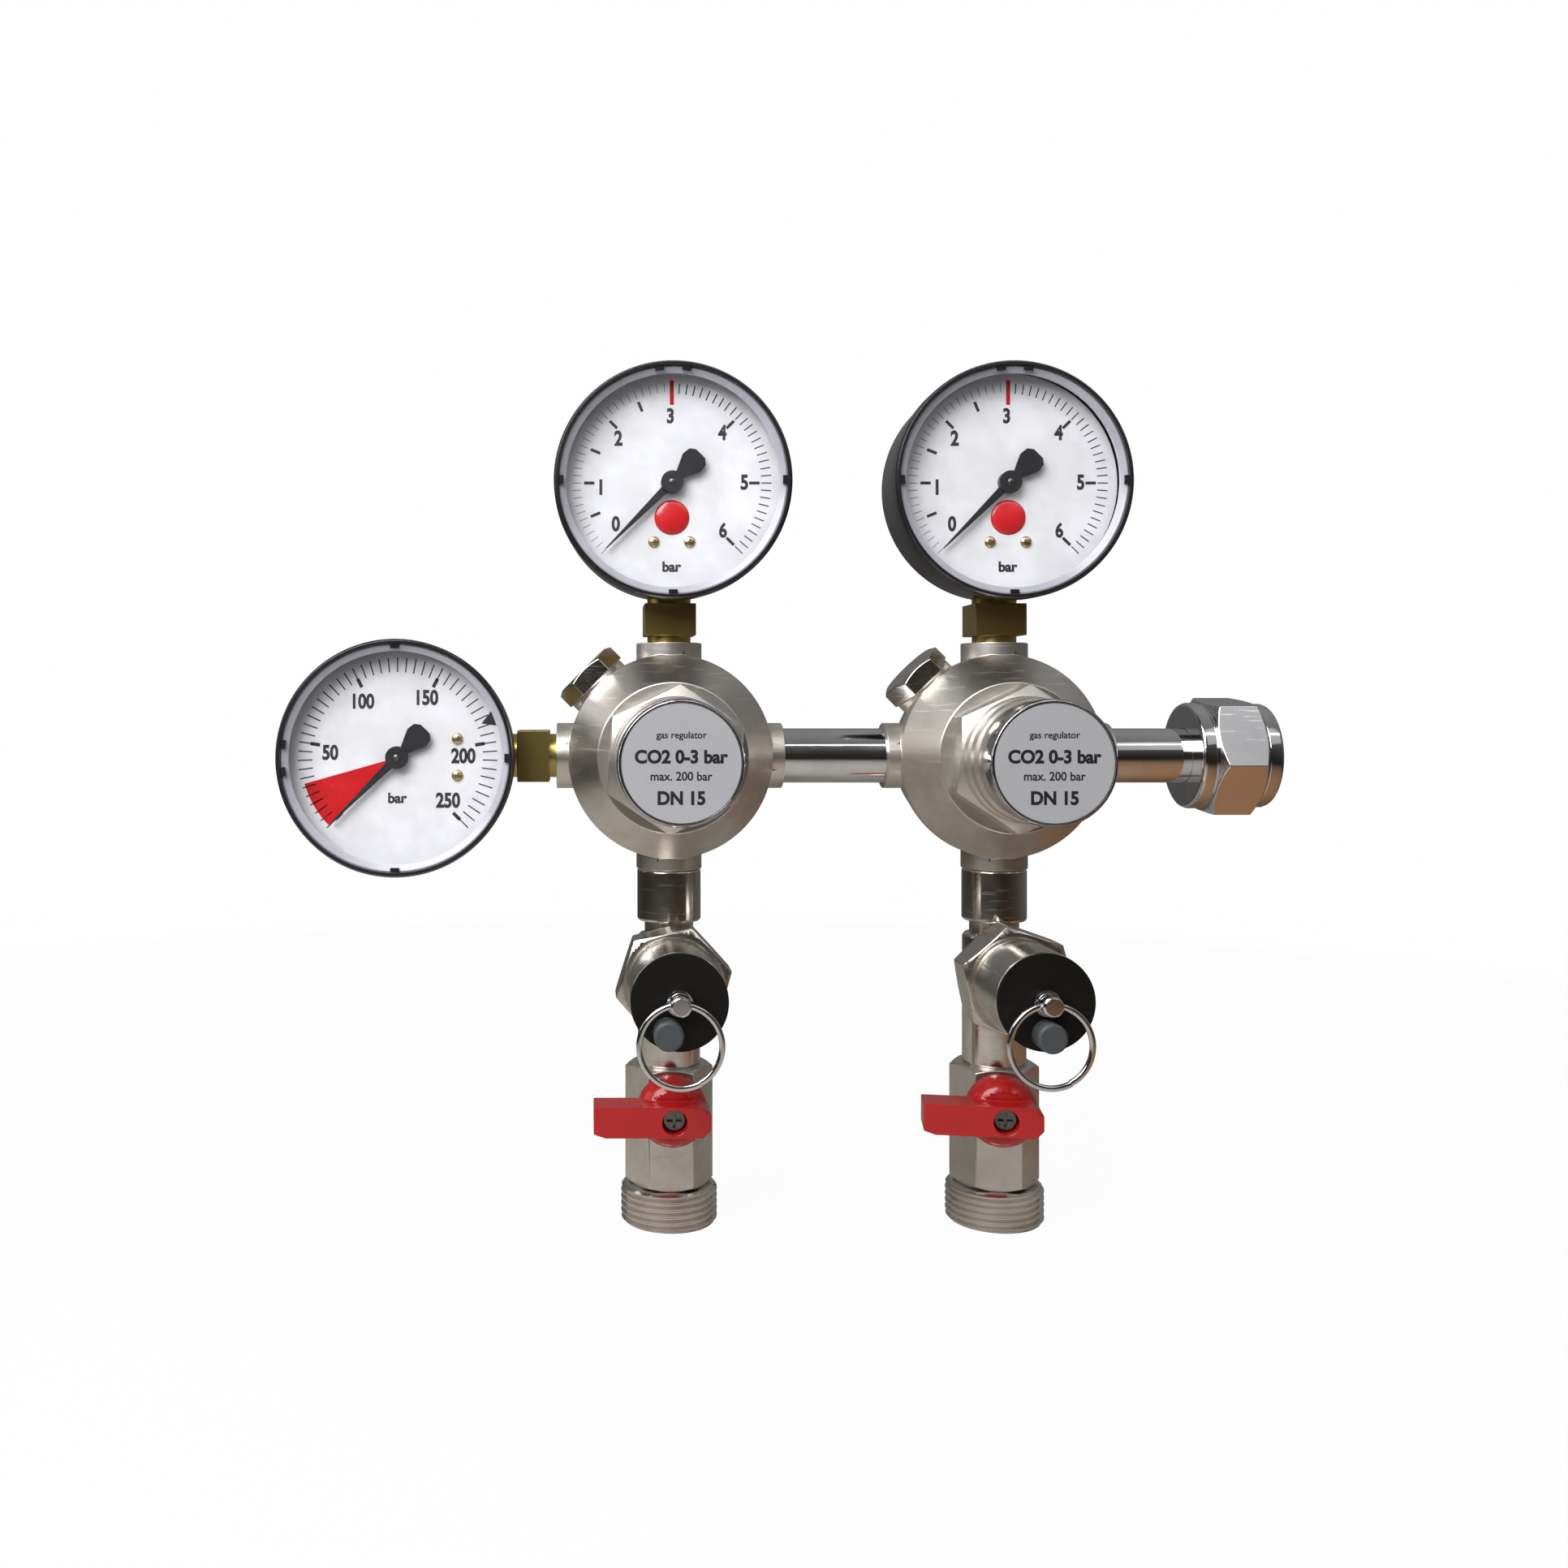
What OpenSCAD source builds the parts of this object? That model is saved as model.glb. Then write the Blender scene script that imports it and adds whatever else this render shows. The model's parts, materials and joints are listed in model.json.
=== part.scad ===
// Two-line carbon dioxide regulator for dispensing gas.
// The inlet pipe carries a union nut for the gas bottle. It feeds two equal regulator
// bodies joined by a link pipe, with the bottle pressure gauge at the far end. Each body
// has a working pressure gauge above it, and a relief valve, a ball valve and a male
// threaded outlet below it.
//
// Frame: the origin is the centre of the inlet washer's sealing face, +X points out of the
// union nut, +Z is up and the adjusting caps face -Y. Lengths are in millimetres.
// Inside a front() block x stays x, y is up, and z counts from the pipe plane to the front.

/* [Layout] */
// Distance between the two regulator axes
body_pitch = 90; // [84:1:110]
// Distance from the inlet washer's sealing face to the nearer regulator axis
inlet_reach = 62; // [60:1:80]
// Distance from a regulator axis to the centre of its gauge
gauge_reach = 73.4; // [72:0.2:90]
// Turn of the nearer ball valve about its own pipe
valve_turn = 9; // [0:1:15]

/* [Regulator body] */
// Diameter of the body's front rim
rim_d = 55.5; // [54:0.5:60]
// Diameter of the body behind the rim
back_d = 50; // [46:0.5:52]
// Distance from the body's axis to each port face
port_reach = 31; // [31:0.5:34]
// Diameter of the port collars
port_d = 18; // [17:0.5:20]
// Hexagon of the bonnet, across its flats
bonnet_af = 34; // [33:0.5:36]
// Diameter of the adjusting cap
knob_d = 31.2; // [30:0.2:33]
// Pitch of the adjusting thread
screw_pitch = 1.5; // [1:0.25:2]

/* [Gauges] */
// Outside diameter of a gauge
gauge_d = 63; // [63:0.5:66]
// Side of the square on a gauge's stem
stem_square = 14; // [13:0.5:15]
// Length of a pointer from its axle to its tip
pointer_l = 24.9; // [20:0.1:26]

/* [Pipes and union] */
// Outside diameter of the inlet and link pipes
pipe_d = 15; // [14:0.5:16]
// Hexagon of the union nut, across its flats
nut_af = 30; // [29:0.5:32]
// Diameter inside the union nut's thread
nut_bore_d = 19.6; // [19.4:0.1:20]
// Length of the union nut in front of the washer
nut_front = 12; // [11:0.5:14]

/* [Outlet line] */
// Depth of the relief valve's axis below the regulator axis
relief_drop = 59; // [59:0.5:62]
// Depth of the ball valve's axis below the regulator axis
valve_drop = 94; // [94:0.5:100]
// Diameter of the relief valve's barrel
barrel_d = 24.4; // [24:0.2:26]
// Outside diameter of the pull ring
ring_d = 22; // [21:0.5:24]
// Hexagon of the ball valve, across its flats
valve_af = 21; // [20:0.5:22]
// Diameter of the male outlet thread
thread_d = 26.44; // [26:0.02:27]
// Reach of the ball valve's lever from its axle
lever_l = 21; // [18:0.5:26]

/* [Hidden] */
$fn = 96;

// Radial play between a pin that turns or slides and its hole
run = 0.05;
// Gap between two faces that move past each other
gap = 0.3;
// Height of a cut that runs past a face
past = 1;

// Positions of the two regulator axes
right_x = -inlet_reach;
left_x = right_x - body_pitch;

// Quarter inch pipe thread of the gauges, the outlet tee and the port plug
pipe_thread_r = 6.58;

// Body, counted from the pipe plane towards the front
body_back = -15;
rim_back = 4.2;
rim_front = 9.4;
body_front = 20;
body_front_r = 20.2;
bonnet_bore_r = 16;
socket_depth = 6;
thread_depth = 9;
boss_reach = 28.5;
bore_r = 3;
high_chamber_r = 5;
high_chamber_back = -11;
low_chamber_r = 13;
low_chamber_back = 4.5;
cross_drill_r = 1.6;
cross_drill_y = 10.5;
diaphragm_back = 6.5;
diaphragm_t = 0.6;

// Bonnet and adjusting screw
bonnet_nose = diaphragm_back + diaphragm_t;
hex_front = 30;
bonnet_top = 42.7;
spring_room_r = 10.5;
spring_room_top = 36;
spindle_r = 3;
spindle_neck_r = 3.5;
spindle_end = 16;
knob_back = bonnet_top + gap;
knob_front = 52;
label_t = 0.4;
plate_top = 9.5;
button_back = 28.5;
button_front = 31.5;
main_spring_r = 7.6;
main_wire_r = 1.2;

// Gauge, counted from the stem's axis towards the dial
case_back = -9;
rim_v = 20;
rim_t = 1.3;
dial_v = 13;
dial_t = 0.6;
pointer_v = 14.2;
shank_r = 6;
square_start = gauge_d / 2 + 0.2;
square_end = gauge_reach - port_reach - 2;

// Relief valve, counted from the pipe plane towards the front
branch_front = 12.5;
branch_r = 9.5;
relief_hex_af = 27;
relief_hex_front = 24;
relief_seat = 13.9;
cap_back = 41;
rim_edge = 44.6;
cap_front = 45.6;
stem_r = 2.6;
stem_end = 51.4;
stem_collar_r = 3.3;
vent_r = 3.7;
vent_drop = 7.8;
left_vent_turn = -22;
eye_v = 49.2;
eye_r = 1.3;
ring_wire_r = 0.9;
ring_mean_r = ring_d / 2 - ring_wire_r;
eye_lift = 0.16;
relief_spring_r = 5;
relief_wire_r = 0.7;

// Outlet line, counted downwards from the regulator axis
sleeve_end = 45.4;
neck_end = 49;
tube_r = 8.6;
valve_top = 84.6;
valve_bottom = 117.5;
thread_top = 118.6;
outlet_bottom = 128;
thread_r = thread_d / 2;
ball_r = 6.2;
ball_port_r = 4;
ball_room_r = 6.4;
ball_room_top = valve_drop - ball_room_r;
ball_room_end = valve_drop + ball_room_r;
end_nose_r = 8;
boss_front = 13.6;
lever_back = boss_front + 0.4;
lever_front = 27;
lever_h = 8;
hub_r = 9.5;
axle_r = 3;
axle_end = 19;
screw_seat = 22;

// Union nut and inlet pipe, along x
washer_t = 2;
flange_back = -5;
flange_r = 9.3;
nut_back = -10;
nut_ring_r = 14.6;
nut_hex_back = -5.6;
nut_hex_front = 7.4;
nut_collar_r = 14.3;
nut_groove_r = 13.9;
nut_hex_turn = 37.3;

// Colours
nickel = [0.72, 0.69, 0.64];
chrome = [0.80, 0.80, 0.82];
brass = [0.55, 0.42, 0.14];
dark_steel = [0.20, 0.20, 0.24];
dial_white = [0.86, 0.87, 0.88];
label_grey = [0.60, 0.61, 0.63];
signal_red = [0.62, 0.06, 0.07];
black = [0.06, 0.06, 0.06];
clear = [0.85, 0.92, 0.95, 0.3];
rubber_grey = [0.25, 0.27, 0.30];

// ---- Placement ----

// Turns children so that their z faces the front and their y stays up
module front() rotate([90, 0, 0]) children();

// Turns children so that their z runs along +X
module along_x() rotate([0, 90, 0]) children();

module at_left() translate([left_x, 0, 0]) children();
module at_right() translate([right_x, 0, 0]) children();

// Ball valve of the nearer line, turned about its own pipe
module at_right_valve() at_right() rotate([0, 0, -valve_turn]) children();

module at_relief() translate([0, 0, -relief_drop]) children();
module at_valve() translate([0, 0, -valve_drop]) children();

module at_left_gauge() translate([left_x, 0, gauge_reach]) children();
module at_right_gauge() translate([right_x, 0, gauge_reach]) children();
module at_bottle_gauge() translate([left_x - gauge_reach, 0, 0]) children();

// Turns a gauge so that its stem points to the right
module stem_right() rotate([0, -90, 0]) children();

// ---- Shared shapes ----

// Round bar from z0 to z1 on the z axis
module bar(r, z0, z1) translate([0, 0, z0]) cylinder(r = r, h = z1 - z0);

// Hexagonal bar across the flats af, from z0 to z1
module hex_bar(af, z0, z1) translate([0, 0, z0]) cylinder(d = af / cos(30), h = z1 - z0, $fn = 6);

// Hexagonal bar whose corners are turned off by a 30 degree cone at the chosen ends
module chamfered_hex(af, z0, z1, low = true, high = true) {
  corner = af / cos(30) / 2;
  face = af / 2 * 0.97;
  drop = (corner - face) * tan(30);
  intersection() {
    hex_bar(af, z0, z1);
    rotate_extrude()
      polygon([
        [0, z0], [low ? face : corner, z0], [corner, z0 + (low ? drop : 0)],
        [corner, z1 - (high ? drop : 0)], [high ? face : corner, z1], [0, z1]
      ]);
  }
}

// Ring of points around a helix of radius r at turn angle a and height z
function coil_ring(r, wire, a, z, sides) = [
  for (k = [0:sides - 1])
    let (t = 360 * k / sides, q = r + wire * cos(t)) [q * cos(a), q * sin(a), z + wire * sin(t)]
];

// Compression spring that stands between z0 and z1
module coil_spring(r, wire, z0, z1, turns, sides, steps) {
  rings = turns * steps;
  rise = (z1 - z0 - 2 * wire - 0.2) / rings;
  points = [
    for (i = [0:rings])
      each coil_ring(r, wire, 360 * i / steps, z0 + wire + 0.1 + rise * i, sides)
  ];
  skin = [
    for (i = [0:rings - 1], k = [0:sides - 1])
      let (n = (k + 1) % sides, a = i * sides, b = a + sides) [a + k, b + k, b + n, a + n]
  ];
  start = [for (k = [0:sides - 1]) k];
  finish = [for (k = [sides - 1:-1:0]) rings * sides + k];
  polyhedron(points = points, faces = concat(skin, [start, finish]), convexity = 6);
}

// ---- Regulator body and what is in it ----

module body_outline()
  rotate_extrude()
    polygon([
      [0, body_back], [back_d / 2 - 1.5, body_back], [back_d / 2, body_back + 1.5],
      [back_d / 2, rim_back - 1], [rim_d / 2, rim_back], [rim_d / 2, rim_front - 0.8],
      [rim_d / 2 - 0.6, rim_front], [body_front_r, body_front - 0.3],
      [body_front_r - 0.3, body_front], [0, body_front]
    ]);

// A port collar with its thread or pipe socket is drilled along +z
module port_hole(r, depth) {
  bar(r, port_reach - depth, port_reach + past);
  bar(bore_r, 9, port_reach - depth + past);
}

module regulator_body(left_port_r, left_port_depth) color(nickel) difference() {
  union() {
    front() body_outline();
    for (turn = [0, 90, 180, 270]) rotate([0, turn, 0]) bar(port_d / 2, 18, port_reach);
    rotate([0, -45, 0]) bar(port_d / 2, 18, boss_reach);
  }
  front() bar(bonnet_bore_r, diaphragm_back, body_front + past);
  front() bar(low_chamber_r, low_chamber_back, diaphragm_back + past);
  front() bar(high_chamber_r, high_chamber_back, low_chamber_back + past);
  // Gauge port above and outlet port below, each drilled through to the low chamber
  for (turn = [0, 180]) rotate([0, turn, 0]) {
    port_hole(pipe_thread_r, thread_depth);
    translate([0, 0, cross_drill_y]) front() bar(cross_drill_r, 0, low_chamber_back + past);
  }
  // Bottle pressure runs through from side to side
  along_x() bar(bore_r, 0, port_reach);
  rotate([0, -90, 0]) bar(bore_r, 0, port_reach);
  along_x() port_hole(pipe_d / 2, socket_depth);
  rotate([0, -90, 0]) port_hole(left_port_r, left_port_depth);
  rotate([0, -45, 0]) bar(pipe_thread_r, boss_reach - thread_depth, boss_reach + past);
}

module valve_seat() front() difference() {
  bar(high_chamber_r, 1, 4);
  bar(1.5, 1 - past, 4 + past);
}

module valve_seats() color(brass) {
  at_left() valve_seat();
  at_right() valve_seat();
}

module poppet() color(brass) front() {
  bar(1.5, -9.5, -3);
  rotate_extrude() polygon([[0, -3], [3.6, -3], [3.6, -0.4], [2.4, 0.9], [0, 0.9]]);
  bar(0.9, 0.9, diaphragm_back - 0.1);
}

// Rubber diaphragm with the spring's plate on it
module diaphragm() color(rubber_grey) front() {
  bar(bonnet_bore_r, diaphragm_back, bonnet_nose);
  bar(9.8, bonnet_nose, plate_top);
  bar(main_spring_r - main_wire_r - 0.6, plate_top, plate_top + 2);
}

module bonnet() color(nickel) front() difference() {
  union() {
    bar(bonnet_bore_r, bonnet_nose, body_front);
    rotate([0, 0, 86]) chamfered_hex(bonnet_af, body_front, hex_front, low = false);
    rotate_extrude()
      polygon([
        [0, hex_front - 1], [16.3, hex_front - 1], [16.3, 32.6], [15.4, 33.4], [15.4, 34.4],
        [15.9, 35], [15.9, 38], [14.9, 39.2], [14.9, bonnet_top], [0, bonnet_top]
      ]);
  }
  bar(spring_room_r, bonnet_nose - past, spring_room_top);
  bar(spindle_neck_r + run, spring_room_top - past, bonnet_top + past);
}

// Adjusting cap with its threaded spindle and the collar that keeps it in the bonnet
module knob() color(chrome) front() {
  knob_r = knob_d / 2;
  rotate_extrude()
    polygon([
      [0, knob_back], [knob_r - 0.9, knob_back], [knob_r, knob_back + 0.9],
      [knob_r, knob_front - 0.9], [knob_r - 0.5, knob_front], [knob_r - 0.9, knob_front],
      [knob_r - 0.9, knob_front - 0.6], [0, knob_front - 0.6]
    ]);
  bar(spindle_neck_r, spring_room_top - gap, knob_back);
  bar(5.2, spring_room_top - gap - 2, spring_room_top - gap);
  bar(spindle_r, spindle_end, spring_room_top - gap - 2);
}

module label() color(label_grey) front()
  bar(knob_d / 2 - 1.1, knob_front - 0.6, knob_front - 0.6 + label_t);

// Nut that presses on the main spring and climbs the spindle's thread
module spring_button() color(brass) front() difference() {
  union() {
    bar(9.8, button_back, button_front);
    bar(main_spring_r - main_wire_r - 0.6, button_back - 2.5, button_back);
  }
  bar(spindle_r + run, button_back - 3, button_front + past);
}

module main_spring() color(dark_steel) front()
  coil_spring(main_spring_r, main_wire_r, plate_top, button_back, 5, 8, 16);

module port_plug() color(nickel) rotate([0, -45, 0]) {
  bar(pipe_thread_r, boss_reach - thread_depth, boss_reach);
  chamfered_hex(17, boss_reach, boss_reach + 5, low = false);
}

// ---- Gauges: the dial's centre is the origin and the stem points down ----

module gauge_case() color(dark_steel) difference() {
  r = gauge_d / 2;
  front() rotate_extrude()
    polygon([
      [0, case_back], [23, case_back], [27, case_back + 1], [29.6, case_back + 3.4],
      [r - 0.8, case_back + 7], [r - 0.8, 13.4], [r, 14.2], [r, rim_v - 0.8],
      [r - 0.5, rim_v], [r - rim_t, rim_v], [r - rim_t, 12], [r - 2.1, 11], [r - 2.1, case_back + 7],
      [28, case_back + 4],
      [25.6, case_back + 2], [22.6, case_back + 1.2], [0, case_back + 1.2]
    ]);
  rotate([0, 180, 0]) bar(shank_r, gauge_d / 2 - 4, gauge_d / 2 + past);
}

// Catches that hold the window, seen as dark marks in the rim
module window_catches() for (a = [0, 83, 97, 180, 270])
  front() rotate([0, 0, a]) translate([gauge_d / 2 - 2.6, -1.2, rim_v - 1]) cube([2, 2.4, 0.7]);

module gauge_shell() {
  color(dark_steel) window_catches();
  gauge_case();
}

module gauge_window() color(clear) front() {
  edge = gauge_d / 2 - rim_t;
  rotate_extrude()
    polygon([
      [0, 17.2], [28, 17.2], [28.8, dial_v + 0.1], [edge, dial_v + 0.1], [edge, rim_v - 1.1],
      [edge - 0.4, rim_v - 1.1], [edge - 2.2, 18.2], [0, 18.2]
    ]);
}

module gauge_dial() color(dial_white) front() difference() {
  bar(gauge_d / 2 - 2.3, dial_v - dial_t, dial_v);
  bar(1.2, dial_v - 1, dial_v + 1);
}

// Threaded stem with the curved pressure tube and the plate that carries the pointer
module gauge_socket() color(brass) {
  mirror([0, 0, 1]) {
    bar(pipe_thread_r, gauge_reach - port_reach, gauge_reach - port_reach + thread_depth);
    bar(pipe_thread_r - 0.6, square_end, gauge_reach - port_reach);
    translate([-stem_square / 2, -stem_square / 2, square_start])
      cube([stem_square, stem_square, square_end - square_start]);
    bar(shank_r, 20, square_start);
  }
  front() {
    translate([-5, -22, -4]) cube([10, 28, 6]);
    translate([-4, -20, 2]) cube([8, 4, 4]);
    difference() {
      translate([-7, -20, 6]) cube([14, 26, 2]);
      bar(0.8 + run, 5, 9);
    }
    rotate([0, 0, -88]) translate([0, 0, -3.5])
      rotate_extrude(angle = 230) translate([20.5, 0]) square([1.8, 7]);
  }
}

// Pointer at the start of its scale, which points down to the left
module gauge_pointer() color(black) front() {
  rotate([0, 0, 225]) {
    translate([0, 0, pointer_v])
      linear_extrude(0.7)
        polygon([
          [pointer_l, 0.15], [pointer_l, -0.15], [2.4, -1.1], [-2.4, -1.1], [-7.4, -3.4],
          [-9.6, -3.1], [-10.7, -1.7], [-10.7, 1.7], [-9.6, 3.1], [-7.4, 3.4], [-2.4, 1.1],
          [2.4, 1.1]
        ]);
    bar(3, pointer_v - 0.6, pointer_v + 1.6);
    bar(0.8, 6, pointer_v);
  }
}

// ---- Outlet line, below a regulator body ----

module outlet_tee() color(nickel) difference() {
  union() {
    mirror([0, 0, 1]) {
      bar(pipe_thread_r, port_reach - thread_depth, port_reach);
      rotate_extrude()
        polygon([
          [0, port_reach], [8.2, port_reach], [8.75, port_reach + 0.6],
          [8.75, sleeve_end - 0.6], [8.2, sleeve_end], [6.7, sleeve_end], [6.7, neck_end],
          [tube_r - 0.6, neck_end], [tube_r, neck_end + 1], [tube_r, valve_top], [0, valve_top]
        ]);
      bar(pipe_thread_r, valve_top, ball_room_top);
    }
    at_relief() front() bar(branch_r, 0, branch_front);
  }
  mirror([0, 0, 1]) bar(4, port_reach - thread_depth - past, ball_room_top + past);
  at_relief() front() bar(8, 6, branch_front + past);
  at_relief() front() bar(bore_r, 0, branch_front);
}

module relief_body(turn) color(chrome) at_relief() front() difference() {
  union() {
    bar(8, 6, branch_front + 1);
    rotate([0, 0, turn]) chamfered_hex(relief_hex_af, branch_front, relief_hex_front);
    rotate_extrude()
      polygon([
        [0, relief_hex_front - 1], [11.4, relief_hex_front - 1], [11.4, relief_hex_front + 1.4],
        [barrel_d / 2, relief_hex_front + 2.2], [barrel_d / 2, rim_edge - 0.5],
        [barrel_d / 2 - 0.5, rim_edge], [0, rim_edge]
      ]);
  }
  bar(bore_r, 6 - past, relief_seat + past);
  bar(8.5, relief_seat, cap_back + past);
  bar(barrel_d / 2 - 1, cap_back, rim_edge + past);
}

// Screwed cap that covers the barrel's end, with its vent plug
module relief_cap(turn) color(black) at_relief() front() {
  difference() {
    union() {
      bar(barrel_d / 2 - 1, cap_back, cap_front);
      bar(barrel_d / 2 - 0.1, rim_edge, cap_front);
    }
    bar(stem_r + run, cap_back - past, cap_front + past);
  }
  rotate([0, 0, turn]) translate([0, -vent_drop, 0])
    rotate_extrude()
      polygon([
        [0, cap_front - 0.1], [vent_r, cap_front - 0.1], [vent_r, 50.4],
        [vent_r - 0.6, 51], [0, 51]
      ]);
}

module relief_stem() color(chrome) at_relief() front() difference() {
  union() {
    bar(6.6, relief_seat + 0.1, relief_seat + 2.6);
    bar(stem_r, relief_seat + 2.6, stem_end - 0.5);
    translate([0, 0, stem_end - 0.5]) cylinder(r1 = stem_r, r2 = stem_r - 0.5, h = 0.5);
    bar(stem_collar_r, cap_front + gap, cap_front + gap + 1);
  }
  translate([0, 0, eye_v]) rotate([0, 90, 0]) bar(eye_r, -stem_r - past, stem_r + past);
}

module relief_spring() color(dark_steel) at_relief() front()
  coil_spring(relief_spring_r, relief_wire_r, relief_seat + 2.6, cap_back, 8, 6, 12);

// Ring that hangs in the stem's eye
module pull_ring() color(chrome) at_relief() front()
  translate([0, eye_lift - ring_mean_r, eye_v])
    rotate_extrude() translate([ring_mean_r, 0]) circle(r = ring_wire_r, $fn = 32);

module valve_body() color(nickel) difference() {
  union() {
    mirror([0, 0, 1]) chamfered_hex(valve_af, valve_top, valve_bottom);
    at_valve() front() bar(6, 0, boss_front);
  }
  mirror([0, 0, 1]) {
    bar(pipe_thread_r, valve_top - past, ball_room_top + 0.01);
    bar(ball_room_r, ball_room_top, ball_room_end);
    bar(end_nose_r, ball_room_end, valve_bottom + past);
  }
  at_valve() front() bar(axle_r + run, 0, boss_front + past);
}

// End piece that closes the valve and carries the male outlet thread
module outlet_end() color(nickel) mirror([0, 0, 1]) difference() {
  union() {
    bar(end_nose_r, ball_room_end, valve_bottom);
    rotate_extrude()
      polygon([
        [0, valve_bottom], [thread_r - 1.1, valve_bottom], [thread_r, thread_top],
        [thread_r, outlet_bottom - 1], [thread_r - 1, outlet_bottom], [0, outlet_bottom]
      ]);
  }
  bar(ball_port_r, ball_room_end - past, valve_bottom + past);
  bar(9.5, valve_bottom + 1, outlet_bottom + past);
}

module ball() color(chrome) at_valve() front() difference() {
  union() {
    sphere(r = ball_r);
    bar(axle_r, 0, axle_end);
  }
  rotate([0, 90, 0]) bar(ball_port_r, -ball_r - past, ball_r + past);
  bar(1.5, screw_seat - 7, axle_end + past);
}

module handle() color(signal_red) at_valve() front() difference() {
  union() {
    rotate_extrude()
      polygon([
        [0, lever_back], [hub_r, lever_back], [hub_r, 16.6], [hub_r - 0.5, 18.4],
        [hub_r - 1.7, 20.2], [hub_r - 3.4, 21.4], [0, 21.4]
      ]);
    // Lever with its lower corner cut off at the tip
    translate([0, 0, 17])
      linear_extrude(lever_front - 17)
        polygon([
          [-lever_l, lever_h / 2], [-lever_l, 1 - lever_h / 2], [3 - lever_l, -lever_h / 2],
          [7.4, -lever_h / 2], [9.4, 2 - lever_h / 2], [9.4, lever_h / 2 - 2], [7.4, lever_h / 2]
        ]);
  }
  bar(axle_r, lever_back - past, axle_end);
  bar(1.5, axle_end - past, screw_seat + past);
  bar(3.2, screw_seat, lever_front + past);
}

module handle_screw() color(dark_steel) at_valve() front() difference() {
  union() {
    bar(1.5, screw_seat - 7, screw_seat);
    bar(2.8, screw_seat, screw_seat + 2.2);
  }
  for (turn = [0, 90]) rotate([0, 0, turn])
    translate([-1.9, -0.35, screw_seat + 1.2]) cube([3.8, 0.7, 2]);
}

// ---- Pipes and union ----

module link_pipe() color(chrome) along_x() {
  start = left_x + port_reach - socket_depth;
  finish = right_x - port_reach + socket_depth;
  difference() {
    bar(pipe_d / 2, start, finish);
    bar(pipe_d / 2 - 2, start - past, finish + past);
  }
}

module inlet_pipe() color(chrome) along_x() {
  start = right_x + port_reach - socket_depth;
  difference() {
    union() {
      bar(pipe_d / 2, start, flange_back + 1);
      bar(flange_r, flange_back, -washer_t);
    }
    bar(3.5, start - past, past);
  }
}

module inlet_washer() color(black) along_x() difference() {
  bar(flange_r - 0.5, -washer_t, 0);
  bar(4, -washer_t - past, past);
}

module inlet_nut() color(chrome) along_x() difference() {
  flat = nut_af / 2;
  corner = flat / cos(30);
  union() {
    intersection() {
      rotate([0, 0, nut_hex_turn]) hex_bar(nut_af, nut_hex_back, nut_hex_front);
      rotate_extrude()
        polygon([
          [0, nut_hex_back], [flat - 0.2, nut_hex_back], [corner, nut_hex_back + 1.5],
          [corner, nut_hex_front - 1.5], [flat - 0.2, nut_hex_front], [0, nut_hex_front]
        ]);
    }
    rotate_extrude()
      polygon([
        [0, nut_back], [nut_ring_r - 1.2, nut_back], [nut_ring_r - 0.3, nut_back + 0.4],
        [nut_ring_r, nut_back + 1.2], [nut_ring_r, nut_hex_back - 0.8],
        [nut_groove_r, nut_hex_back - 0.4], [nut_groove_r, nut_hex_front + 0.4],
        [nut_collar_r, nut_hex_front + 0.7], [nut_collar_r, nut_front - 1.2],
        [nut_collar_r - 0.3, nut_front - 0.4], [nut_collar_r - 1.2, nut_front], [0, nut_front]
      ]);
  }
  bar(pipe_d / 2 + run, nut_back - past, flange_back);
  bar(flange_r + 1, flange_back - gap, 0);
  bar(nut_bore_d / 2, -past, nut_front + past);
  translate([0, 0, nut_front - 0.8])
    cylinder(r1 = nut_bore_d / 2, r2 = nut_bore_d / 2 + 1, h = 1);
}

// ---- Every node ----

at_left() regulator_body(pipe_thread_r, thread_depth);  // left_body
at_left() bonnet();  // left_bonnet
at_left() diaphragm();  // left_diaphragm
at_left() port_plug();  // left_port_plug
at_left() knob();  // left_knob
at_left() label();  // left_label
at_left() spring_button();  // left_spring_button
at_left() main_spring();  // left_main_spring
at_left() poppet();  // left_poppet
at_left() outlet_tee();  // left_outlet_tee
at_left() relief_body(12.5);  // left_relief_body
at_left() relief_cap(left_vent_turn);  // left_relief_cap
at_left() relief_stem();  // left_relief_stem
at_left() relief_spring();  // left_relief_spring
at_left() pull_ring();  // left_pull_ring
at_left() valve_body();  // left_valve_body
at_left() outlet_end();  // left_outlet_end
at_left() ball();  // left_ball
at_left() handle();  // left_handle
at_left() handle_screw();  // left_handle_screw
at_right() regulator_body(pipe_d / 2, socket_depth);  // right_body
at_right() bonnet();  // right_bonnet
at_right() diaphragm();  // right_diaphragm
at_right() port_plug();  // right_port_plug
at_right() knob();  // right_knob
at_right() label();  // right_label
at_right() spring_button();  // right_spring_button
at_right() main_spring();  // right_main_spring
at_right() poppet();  // right_poppet
at_right() outlet_tee();  // right_outlet_tee
at_right() relief_body(41);  // right_relief_body
at_right() relief_cap(0);  // right_relief_cap
at_right() relief_stem();  // right_relief_stem
at_right() relief_spring();  // right_relief_spring
at_right() pull_ring();  // right_pull_ring
at_right_valve() valve_body();  // right_valve_body
at_right_valve() outlet_end();  // right_outlet_end
at_right_valve() ball();  // right_ball
at_right_valve() handle();  // right_handle
at_right_valve() handle_screw();  // right_handle_screw
at_left_gauge() gauge_shell();  // left_gauge_case
at_left_gauge() gauge_window();  // left_gauge_window
at_left_gauge() gauge_dial();  // left_gauge_dial
at_left_gauge() gauge_socket();  // left_gauge_socket
at_left_gauge() gauge_pointer();  // left_gauge_pointer
at_right_gauge() gauge_shell();  // right_gauge_case
at_right_gauge() gauge_window();  // right_gauge_window
at_right_gauge() gauge_dial();  // right_gauge_dial
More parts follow.
